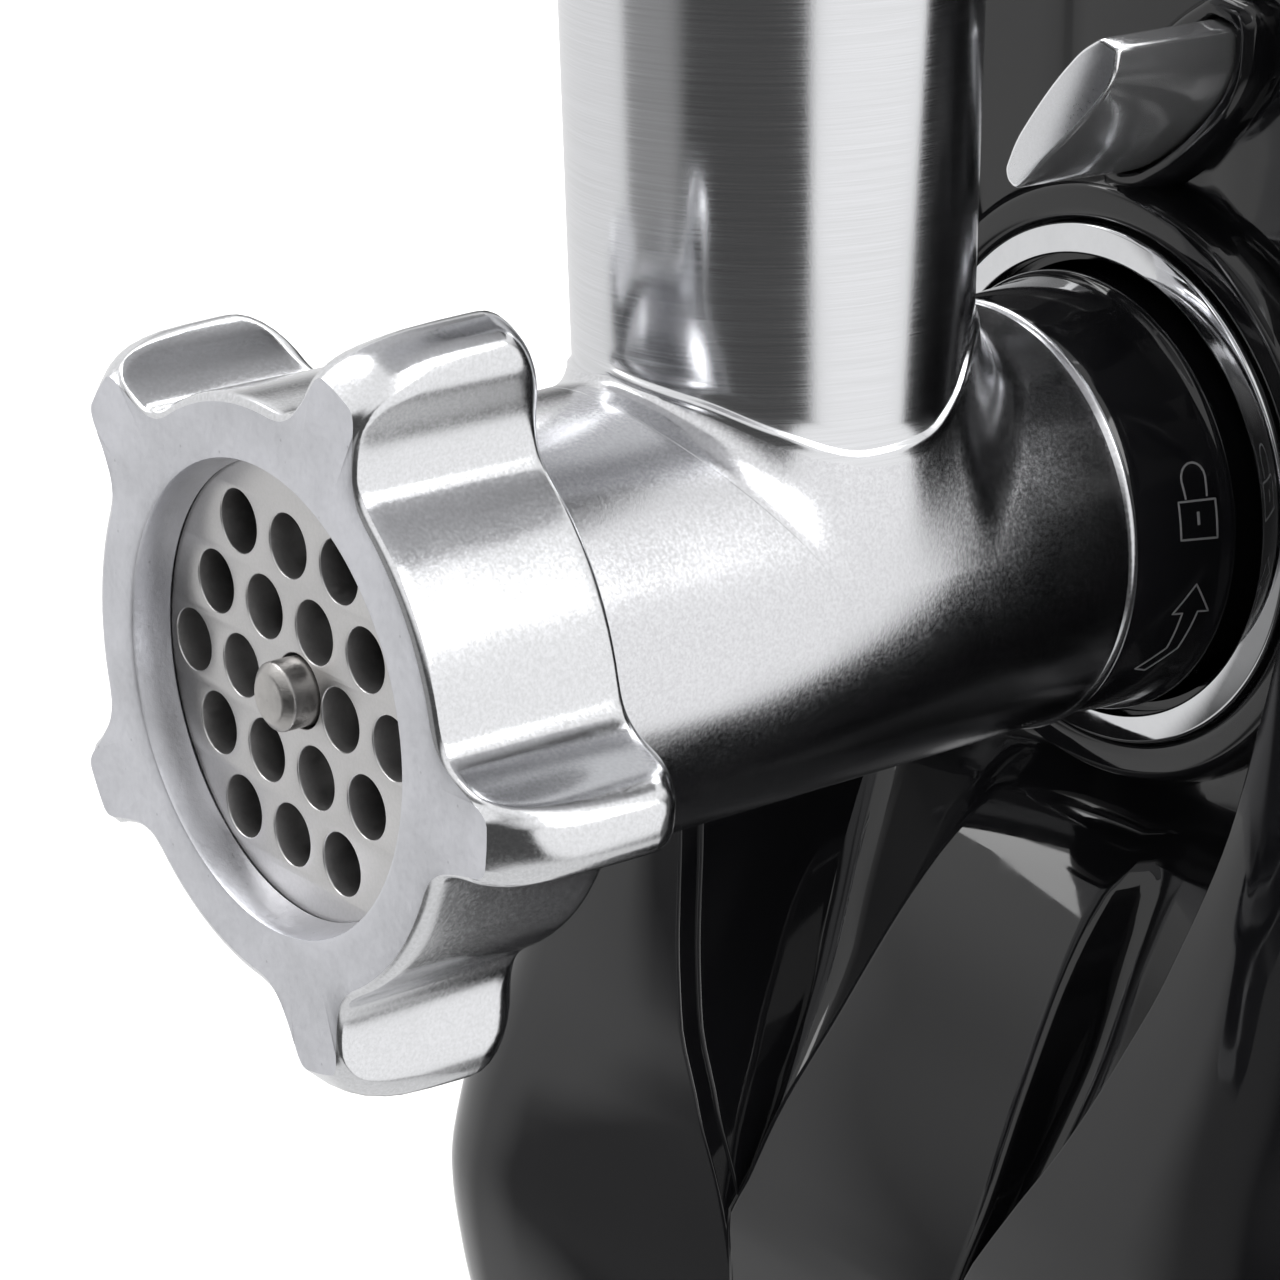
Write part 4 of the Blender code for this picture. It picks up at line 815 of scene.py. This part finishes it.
# the covers' lines by height: (z, x) or (z, y) pairs
HALF_WIDTH = ((-147, 75), (-125, 77), (-100, 78), (-60, 75.5), (0, 70), (60, 64.5), (96, 61))
CREASE_Y = ((-147, 80), (-128, 76.5), (-110, 75), (-96, 75.2), (-88, 75.4), (-80, 75.3), (-76, 75.9),
            (-70, 76.9), (-65, 78.6), (-50, 84), (-30, 90), (0, 98.5), (30, 107), (55, 114), (75, 119),
            (96, 124))
CREASE_X = ((-147, 17), (-110, 18), (-96, 19), (-88, 20.8), (-80, 24), (-76, 26.2), (-70, 29.9), (-60, 35.2),
            (-50, 39.2), (-40, 42.8), (-20, 47), (0, 47.5), (40, 44.5), (96, 36))
CHEEK_Y = ((-147, 79.2), (-128, 71.7), (-112, 68), (-100, 66.8), (-90, 68.6), (-80, 72.2), (-70, 76.1),
           (-65, 77.8), (-50, 83.2), (-30, 89.2), (0, 97.7), (30, 106.2), (55, 113.2), (75, 118.2),
           (96, 123.2))
TONGUE_Y = ((-147, 79.6), (-128, 75.6), (-110, 74.3), (-96, 74.7), (-90, 75.1), (-85, 77.5), (-65, 90),
            (-50, 100.4), (-44, 106.2), (-40.5, 111.8), (-38.2, 117), (-36.5, 120), (-34, 121), (62, 121),
            (96, 126))
TONGUE_X = ((-147, 16), (-110, 17), (-96, 18), (-88, 19.2), (-80, 19), (-65, 16.5), (-31, 12), (96, 10))
CHANNEL_Y = ((-147, 79.8), (-128, 76), (-110, 74.7), (-96, 75.1), (-90, 76), (-85, 81), (-65, 99), (-50, 108),
             (-42, 113.6), (-38.5, 118), (-36, 120.6), (-33, 121), (62, 121), (96, 126))
# y where front and rear cover meet, their wall, the radius of their upright corners
SPLIT, WALL, FRONT_CORNER, BACK_CORNER = 165, 2.4, 18, 30
# z of their lower edge and of the shoulder, and the radius above it
BOTTOM, SHOULDER, TOP_ROUND = -146.7, 70, 26


def filleted(corners, steps=5):
    """Corners (x, y, radius) turned into arcs, each flanked by a close support point."""
    out = [corners[0][:2]]
    for a, p, b in zip(corners, corners[1:], corners[2:]):
        cut, towards = corner(a, p, b, p[2], 0.42)
        start, end = towards(cut)
        before, after = towards(cut * 1.12)
        out += [before, *bezier(start, p[:2], end, steps), after]
    return out + [corners[-1][:2]]


def side_to_split(width, start, towards):
    """The flat side from a corner's end at y = start to the split, with the lip's rounded edge."""
    gap = 0.15 * towards
    points = [(width, start + (SPLIT + gap - start) * t) for t in (0.04, 0.35, 0.7, 0.97)]
    return points + [(width, SPLIT + 0.75 * towards), (width - 0.08, SPLIT + 0.4 * towards),
                     (width - 0.45, SPLIT + gap)]


def front_half(z):
    """Points (x, y) of the front cover at one height, from its middle to the split."""
    cx, cy = smooth_value(CREASE_X, z), smooth_value(CREASE_Y, z)
    tx, ty = smooth_value(TONGUE_X, z), smooth_value(TONGUE_Y, z)
    ch = max(smooth_value(CHANNEL_Y, z), ty + 0.02)
    width = smooth_value(HALF_WIDTH, z)
    span = cx - tx
    cheek = smooth_value(CHEEK_Y, z)
    corner_x, corner_y = width - FRONT_CORNER, cheek + FRONT_CORNER
    points = filleted([(0, ty, 0), (tx, ty + 0.45, 1.1), (tx + 0.13 * span, ch, 2.4),
                       (tx + 0.74 * span, ch + 0.2, 4.5), (cx, cy, 0.35),
                       (corner_x - 4, cheek - 0.05, 0.4)])[:-1]
    last = points[-1]
    for k in range(1, 7):
        t = k / 6
        bulge = 0.5 * sin(pi * t)
        points.append((last[0] + (corner_x - last[0]) * t, last[1] + (cheek - last[1]) * t - bulge))
    for k in range(1, 13):
        a = pi / 2 * k / 12
        points.append((corner_x + FRONT_CORNER * sin(a), corner_y - FRONT_CORNER * cos(a)))
    return points + side_to_split(width, corner_y, -1)


def back_half(z):
    """Points (x, y) of the rear cover at one height, from its middle to the split."""
    width = smooth_value(HALF_WIDTH, z)
    back = 276 - 0.06 * max(0, z + 60)
    points = [(0, back), (width * 0.18, back - 0.08), (width * 0.35, back - 0.3)]
    cx, cy = width - BACK_CORNER, back - BACK_CORNER - 0.8
    for k in range(17):
        a = pi / 2 * k / 16
        points.append((cx + BACK_CORNER * sin(a), cy + BACK_CORNER * cos(a)))
    return points + side_to_split(width, cy, 1)


def cover(half_profile, heights):
    """A walled shell, open at the split and below, that rounds over towards its top."""
    shape = Shape()
    rows = []
    for z in heights:
        half = half_profile(z)
        width = half[-1][0] + 0.45
        rows.append((0, width, [(-x, y, z) for x, y in half[::-1]] + [(x, y, z) for x, y in half[1:]]))
    _, width, last = rows[-1]
    split = last[0][1]
    for k in range(1, 17):
        a = pi / 2 * k / 16
        shrink = 1 - (1 - cos(a)) * TOP_ROUND / width
        rows.append((sin(a), width, [(x * shrink, split + (y - split) * shrink, SHOULDER + TOP_ROUND * sin(a))
                                     for x, y, _ in last]))
    grids = [[], []]
    for step, width, row in rows:
        narrow = 1 - WALL / width
        grids[0].append(row)
        grids[1].append([(x * narrow, y + WALL * max(-1, min(1, (split - y) / 30)), z - WALL * step)
                         for x, y, z in row])
    starts = []
    n, count = len(grids[0][0]), len(rows)
    for grid in grids:
        starts.append(len(shape.verts))
        shape.loft(grid, around=False, cap_end=True)
    a, b = starts
    for i in range(n - 1):
        shape.faces.append((a + i, a + i + 1, b + i + 1, b + i))
    for k in range(count - 1):
        for i in (0, n - 1):
            shape.faces.append((a + k * n + i, a + (k + 1) * n + i, b + (k + 1) * n + i, b + k * n + i))
    ea, eb = a + (count - 1) * n, b + (count - 1) * n
    shape.faces.append((ea, ea + n - 1, eb + n - 1, eb))
    shape.mats = [0] * len(shape.faces)
    return shape


def steps_between(low, high, step):
    count = max(1, round((high - low) / step))
    return [low + (high - low) * i / count for i in range(count + 1)]


def housing():
    heights = (steps_between(BOTTOM, -45, 2.2) + steps_between(-44.2, -32, 0.8)
               + steps_between(-30, SHOULDER, 2.2))
    front = cover(front_half, heights).piece("front_cover_shell", "housing", GLOSS, "front_cover", 40)
    hole = Shape().lathe([(60, 31.9), (160, 31.9)], 128, cap_start=True, cap_end=True)
    carve(front, hole, prism(button_outline(1, -0.35), 80, 150))
    rear = cover(back_half, steps_between(BOTTOM, SHOULDER, 6)).piece(
        "rear_cover_shell", "housing", GLOSS, "rear_cover", 40)
    tools = [box_shape((40, 189.7, -24.3), (90, 246.3, 28.3)),
             box_shape((-15.3, 250, -128.3), (15.3, 290, -107.7))]
    for z in range(-20, 45, 9):
        vent = rounded([(-30, z), (30, z), (30, z + 4), (-30, z + 4)], 1.9, 6, True)
        tools.append(prism(vent, 255, 290))
    carve(rear, *tools)
    even_normals(front, 40)
    even_normals(rear, 40)


def base_parts():
    outline = []
    for sx, cy, corner, start in ((1, 244, 28, 0), (-1, 244, 28, 90),
                                  (-1, 100, 16, 180), (1, 100, 16, 270)):
        for i in range(13):
            a = radians(start + 90 * i / 12)
            outline.append((sx * (71.5 - corner) + corner * cos(a), cy + corner * sin(a)))
    middle = 178

    def ring(z, inwards):
        return [(x * (1 - inwards / 71.5), middle + (y - middle) * (1 - inwards / 94), z) for x, y in outline]

    plate = Shape().loft([ring(-147, 0), ring(-149.3, 0), ring(-149.8, 0.2), ring(-150, 0.7)],
                         cap_start=True, cap_end=True)
    plate.piece("base_plate_panel", "housing", BLACK, "base_plate", 40)
    foot = [(-154.2, 0.01), (-154.2, 3.4), (-154.6, 3.8)]
    foot += rounded([(-155, 4), (-155, 8.4), (-154, 9.5), (-152.2, 9.7), (-152, 9.3), (-151.6, 9.3),
                     (-151.3, 9.9), (-150.3, 10.5)], 0.3, 3)
    head = rounded([(-151.95, 0.01), (-151.95, 2.2), (-151.4, 3.5), (-150.3, 3.5)], 0.35, 3)
    places = [(x, y) for y in (104, 244) for x in (-52, 52)]
    for number, (x, y) in enumerate(places, 1):
        pad = Shape().lathe(foot, 64, (x, y), True, cap_end=True)
        pad.piece(f"foot_pad_{number}", "housing", RUBBER, f"foot_{number}", 30)
        sx = x - 16 * (1 if x > 0 else -1)
        screw = Shape().lathe(head, 40, (sx, y), True, cap_end=True)
        made = screw.piece(f"base_screw_head_{number}", "housing", STEEL, f"base_screw_{number}", 30)
        carve(made, box_shape((sx - 1.9, y - 0.4, -153), (sx + 1.9, y + 0.4, -151.1)),
              box_shape((sx - 0.4, y - 1.9, -153), (sx + 0.4, y + 1.9, -151.1)))


# ---------------- tray and pusher

# the tray's section as (how far inside the rim, z), from the pan's underside over the rim to its floor
TRAY_SECTION = (
    (16, 112.4), (9, 112.4), (7.4, 112.7), (6.4, 113.6), (5.8, 115), (4.3, 120), (2.7, 126),
    (1.2, 132), (0.7, 134), (0.45, 134.9), (0.05, 135.6), (0, 136.2), (0.15, 136.7), (0.6, 137),
    (1.3, 136.98), (1.8, 136.6), (2.1, 135.8), (2.7, 133.6), (3.2, 132), (4.8, 126), (6.6, 119.4),
    (7.6, 116.6), (8.8, 115.1), (10.6, 114.45), (13, 114.4), (24, 114.4))
# its collar as (radius, z): outside and up to the pan, then from the floor down the inside
COLLAR_OUTSIDE = ((27, 103.1), (27.2, 103.5), (27.2, 111.4), (27.5, 112.1), (28.4, 112.4))
COLLAR_INSIDE = ((24, 114.4), (20.3, 114.4), (19.6, 114.2), (19.4, 113.9), (19.4, 112.8), (19.6, 112.4),
                 (24.9, 112.4), (25.2, 112.1), (25.2, 103.4), (25.5, 103.1))


def tray():
    count = 208
    middle, half_x, half_y, square = 48, 95, 63, 2 / 4.6

    def outline(inwards, z):
        ring = []
        for i in range(count):
            a = tau * i / count
            c, s = cos(a), sin(a)
            ring.append(((half_x - inwards) * abs(c) ** square * (1 if c > 0 else -1),
                         middle + (half_y - inwards) * abs(s) ** square * (1 if s > 0 else -1), z))
        return ring

    def hole(radius, z):
        return circle(radius, z, count, (0, FEED_Y), True)

    rows = [hole(*p) for p in COLLAR_OUTSIDE] + [outline(*p) for p in TRAY_SECTION]
    shape = Shape().loft(rows + [hole(*p) for p in COLLAR_INSIDE], loop=True)
    # the pan's underside and the collar's outside take the paler underside metal: painted light
    shape.paint(lambda x, y, z: 102 < z < 112.8 and hypot(x, y - FEED_Y) > 26)
    shape.piece("hopper_tray_pan", "tray", [TRAY_METAL, TRAY_UNDER_PAINTED_LIGHT], "hopper_tray")


def pusher():
    outer = rounded([(30, 0.01), (30, 17.4), (31.5, 18.6), (114.8, 18.6), (114.8, 26.9), (117.7, 26.9),
                     (120.8, 19), (154, 17.5), (170, 21.4), (170, 18.6), (154, 15), (32.5, 15),
                     (32.5, 0.01)], 0.8, 4)
    count, grooves = 144, 18
    rings = []
    for z, r in outer:
        grip = 0.5 * min(1, (z - 122) / 4) if 122 < z < 169.9 and r > 17 else 0
        ring = []
        for i in range(count):
            a = tau * i / count
            out = r - grip * (0.5 + 0.5 * cos(grooves * tau * i / count))
            ring.append((out * cos(a), FEED_Y + out * sin(a), z))
        rings.append(ring)
    fine = []
    for a, b in zip(rings, rings[1:]):
        gap = abs(a[0][2] - b[0][2])
        k = max(1, int(gap / 4)) if a[0][2] > 120 else 1
        fine += [[tuple(p[j] + (q[j] - p[j]) * s / k for j in range(3)) for p, q in zip(a, b)]
                 for s in range(k)]
    Shape().loft(fine + rings[-1:]).piece("pusher_stem", "pusher", BLACK, "pusher")
    cap = rounded([(170.3, 0.01), (170.3, 21.5), (173.6, 21.4), (175.2, 19.6), (176, 15), (175.6, 13),
                   (175.55, 0.01)], 0.9, 4)
    plug = rounded([(164, 0.01), (164, 16.2), (165, 17), (170.3, 17)], 0.3, 2)
    Shape().lathe(plug + cap[1:], 96, (0, FEED_Y), True).piece(
        "pusher_cap_disc", "pusher", BLACK, "pusher_cap")


# ---------------- controls

def softened_box(low, high, edge, name, body, mat, node, tools=()):
    """A box with the tools' shapes cut out of it and its edges rounded."""
    made = box_shape(low, high).piece(name, body, mat, node)
    if tools:
        carve(made, *tools)
    bevel = made.modifiers.new("edge", "BEVEL")
    bevel.width = edge * MM
    bevel.segments = 3
    bevel.limit_method = "ANGLE"
    bpy.context.view_layer.update()
    apply_all(made)
    even_normals(made, 50)


def rocker_face(d):
    """x of the rocker's shallow V face at d from its pivot, along y."""
    return 73.7 + 0.117 * min(abs(d), 6) + 0.22 * max(abs(d) - 6, 0)


def controls():
    """The panel on the right side, with the rocker above the reverse button."""
    y, low_z, high_z = 218, -12, 12
    tools = [box_shape((58, y - 12.3, high_z - 8.3), (79, y + 12.3, high_z + 8.3)),
             box_shape((58, y - 8.3, low_z - 8.3), (79, y + 8.3, low_z + 8.3))]
    softened_box((60, 190, -24), (74, 246, 28), 0.9, "control_panel_plate", "housing", BLACK,
                 "control_panel", tools)
    side = rounded([(63, -5), (63, 5), (71, 11), (75.5, 11), (74.4, 6), (73.7, 0),
                    (74.4, -6), (75.5, -11), (71, -11)], 0.7, 4, True)
    rings = []
    for z, inwards in ((-7.8, 0.5), (-7.65, 0.15), (-7.3, 0), (7.3, 0), (7.65, 0.15), (7.8, 0.5)):
        rings.append([(69 + (x - 69) * (1 - inwards / 8), y + d * (1 - inwards / 11), high_z + z)
                      for x, d in side])
    Shape().loft(rings, cap_start=True, cap_end=True).piece(
        "power_rocker_cap", "power_rocker", BLACK, "power_rocker")
    marks = Shape()
    bar = []
    for d in (-7.55, -6.85):
        x = rocker_face(d)
        bar.append([(x + lift, y + d, high_z + z) for lift, z in ((-0.3, -2.2), (0.15, -2.2), (0.15, 2.2),
                                                                  (-0.3, 2.2))])
    marks.loft(bar, cap_start=True, cap_end=True)
    ring = []
    for lift, r in ((-0.3, 1.5), (0.15, 1.5), (0.15, 2.2), (-0.3, 2.2)):
        ring.append([(rocker_face(d) + lift, y + d, z) for d, z, _ in circle(r, 0, 40, (7.2, high_z), True)])
    marks.loft(ring, loop=True)
    marks.piece("rocker_marks", "power_rocker", WHITE_MARK, None, 30, "power_rocker")
    softened_box((66, y - 7.7, low_z - 7.7), (77, y + 7.7, low_z + 7.7), 1.3, "reverse_button_cap",
                 "reverse_button", BUTTON_FACE, "reverse_button")
    turn = Shape()
    rows = []
    for i in range(31):
        a = radians(-60 + 280 * i / 30)
        rows.append([(x, y + r * cos(a), low_z + r * sin(a))
                     for x, r in ((76.8, 3.1), (77.12, 3.1), (77.12, 3.7), (76.8, 3.7))])
    turn.loft(rows, cap_start=True, cap_end=True)
    a = radians(-60)
    tip = [(3.4 * cos(a) + d, 3.4 * sin(a) + h) for d, h in ((-1.9, -0.9), (1.1, 1.2), (1.3, -1.5))]
    turn.loft([[(x, y + p, low_z + q) for p, q in tip] for x in (76.8, 77.12)], cap_start=True, cap_end=True)
    turn.piece("reverse_mark", "reverse_button", BLACK, None, 30, "reverse_button")


def inlet():
    z = -118
    recess = box_shape((-11, 265, z - 5), (11, 280, z + 5))
    softened_box((-15, 262, z - 10), (15, 276, z + 10), 0.7, "power_inlet_body", "housing", BLACK,
                 "power_inlet", [recess])
    pin = rounded([(264.5, 0.01), (264.5, 1.2), (273.2, 1.2), (274, 0.7), (274, 0.01)], 0.2, 3)
    pins = Shape()
    for x in (-4.5, 4.5):
        pins.lathe(pin, 28, (x, z))
    pins.piece("inlet_pins", "housing", STEEL, None, 35, "power_inlet")


# ---------------- finishes on the frame's own nodes

NODE_FINISH = (
    (STEEL, "plate_key auger_hex_drive lock_catch output_gear output_shaft second_gear second_pivot"
            " first_pivot output_bearing motor_shaft motor_front_bearing motor_rear_bearing motor_bracket"),
    (KNIFE_PAINTED_SHADE, "knife"),
    (NYLON, "thrust_washer first_gear brush_holder_right brush_holder_left"),
    (BLACK, "gearbox_case gearbox_cover cooling_fan rocker_switch reverse_switch"),
    (LAMINATION, "rotor_core stator_core"),
    (COMMUTATOR, "commutator"),
    (COPPER, "field_coil_right field_coil_left"),
    (BOARD, "circuit_board"),
)


def finish_nodes():
    for mat, names in NODE_FINISH:
        for name in names.split():
            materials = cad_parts[name].data.materials
            materials.clear()
            materials.append(mat)


# ---------------- camera, light and floor

# fitted to the photo: place in metres, and the camera's own right, up and back directions
CAMERA_PLACE = (0.35185, -0.35003, 0.30517)
CAMERA_RIGHT = (0.60922097, 0.79291176, -0.01186404)
CAMERA_UP = (-0.25452339, 0.20968456, 0.9440605)
CAMERA_BACK = (0.75104438, -0.57212178, 0.32955882)
CAMERA_LENS = 121.82
WORLD_BASE = 0.08
# azimuth and elevation in degrees, inner and outer edge in degrees, strength
LOBES = (
    (0.0, 90.0, 55.0, 85.0, 1.05),
    (20.0, -2.0, 36.0, 44.0, 1.1),
    (0.0, -90.0, 42.0, 56.0, 0.8),
    (190.0, -10.0, 40.0, 50.0, 0.9),
    (247.0, -10.0, 16.0, 32.0, 0.32),
)
# name, place, aim, size in metres, watts
LAMPS = (
    ("key_softbox", (-0.9, -0.6, 1.6), (0.0, -0.05, 0.1), (1.0, 1.0), 12.0),
    ("fill_softbox", (1.3, 0.4, 1.2), (0.0, 0.0, 0.1), (0.8, 0.8), 8.0),
    ("floor_light", (-0.9, 0.9, 1.8), (-0.8, 0.9, 0.0), (1.5, 1.5), 30.0),
)
FLOOR_HALF, BACKDROP_RADIUS = 6, 8.4


def camera():
    data = bpy.data.cameras.new("camera")
    data.sensor_width = 36.0
    data.lens = CAMERA_LENS
    data.clip_start, data.clip_end = 0.02, 50.0
    cam = add("camera", data)
    columns = Matrix(((*CAMERA_RIGHT, 0), (*CAMERA_UP, 0), (*CAMERA_BACK, 0), (*CAMERA_PLACE, 1)))
    cam.matrix_world = columns.transposed()
    bpy.context.scene.camera = cam


def direction(azimuth, elevation):
    a, e = radians(azimuth), radians(elevation)
    return Vector((cos(a) * cos(e), sin(a) * cos(e), sin(e)))


def studio():
    world = bpy.data.worlds.new("studio")
    n = Nodes(world, "Background", "Generated")
    total = WORLD_BASE
    for azimuth, elevation, inner, outer, strength in LOBES:
        dot = n.new("ShaderNodeVectorMath", {0: n.coord, 1: direction(azimuth, elevation)},
                    operation="DOT_PRODUCT").outputs["Value"]
        lobe = n.ramp(dot, cos(radians(outer)), cos(radians(inner)), 0.0, strength,
                      interpolation_type="SMOOTHSTEP")
        total = n.math("MAXIMUM", total, lobe)
    n.set("Strength", total)
    n.set("Color", (1.0, 1.0, 1.0, 1.0))
    bpy.context.scene.world = world

    for name, place_at, aim, size, power in LAMPS:
        data = bpy.data.lights.new(name, "AREA")
        data.shape = "RECTANGLE"
        data.size, data.size_y = size
        data.energy = power
        lamp = add(name, data)
        lamp.location = place_at
        lamp.rotation_euler = (Vector(aim) - Vector(place_at)).to_track_quat("-Z", "Y").to_euler()
    bpy.context.scene.view_settings.view_transform = "Standard"


def scenery(mesh, mat, hidden_from):
    """Part of the set, which some kinds of ray do not see."""
    mesh.materials.append(mat)
    obj = add(mesh.name, mesh)
    for kind in hidden_from:
        setattr(obj, "visible_" + kind, False)


def floor():
    mesh = bpy.data.meshes.new("floor")
    h = FLOOR_HALF
    mesh.from_pydata([(-h, -h, 0), (h, -h, 0), (h, h, 0), (-h, h, 0)], [], [(0, 1, 2, 3)])
    scenery(mesh, matte_plastic("pale_floor", (0.88, 0.88, 0.88), 0.75, 0.00002, 300.0), ["glossy"])


def backdrop():
    """A pale dome that only fills the picture behind the object and gives no light."""
    mesh = bpy.data.meshes.new("backdrop")
    shell = bmesh.new()
    bmesh.ops.create_uvsphere(shell, u_segments=48, v_segments=24, radius=BACKDROP_RADIUS)
    shell.to_mesh(mesh)
    shell.free()
    n = material("pale_backdrop")
    n.set("Base Color", (0.0, 0.0, 0.0, 1.0))
    n.set("Roughness", 1.0)
    n.set("Emission Color", (1.0, 1.0, 1.0, 1.0))
    n.set("Emission Strength", 0.96)
    scenery(mesh, n.owner, ["diffuse", "glossy", "transmission", "volume_scatter", "shadow"])


camera()
studio()
floor()
backdrop()
ring_nut()
cutting_plate()
auger()
barrel()
feed_tube()
lock_sleeve()
sleeve_marks()
socket_parts()
lock_button()
coil_spring("lock_spring_coil", "lock_spring", 1, 3, 0.45, True)
coil_spring("reverse_spring_coil", "reverse_spring", 0, 3, 0.3, False)
housing()
base_parts()
tray()
pusher()
controls()
inlet()
finish_nodes()
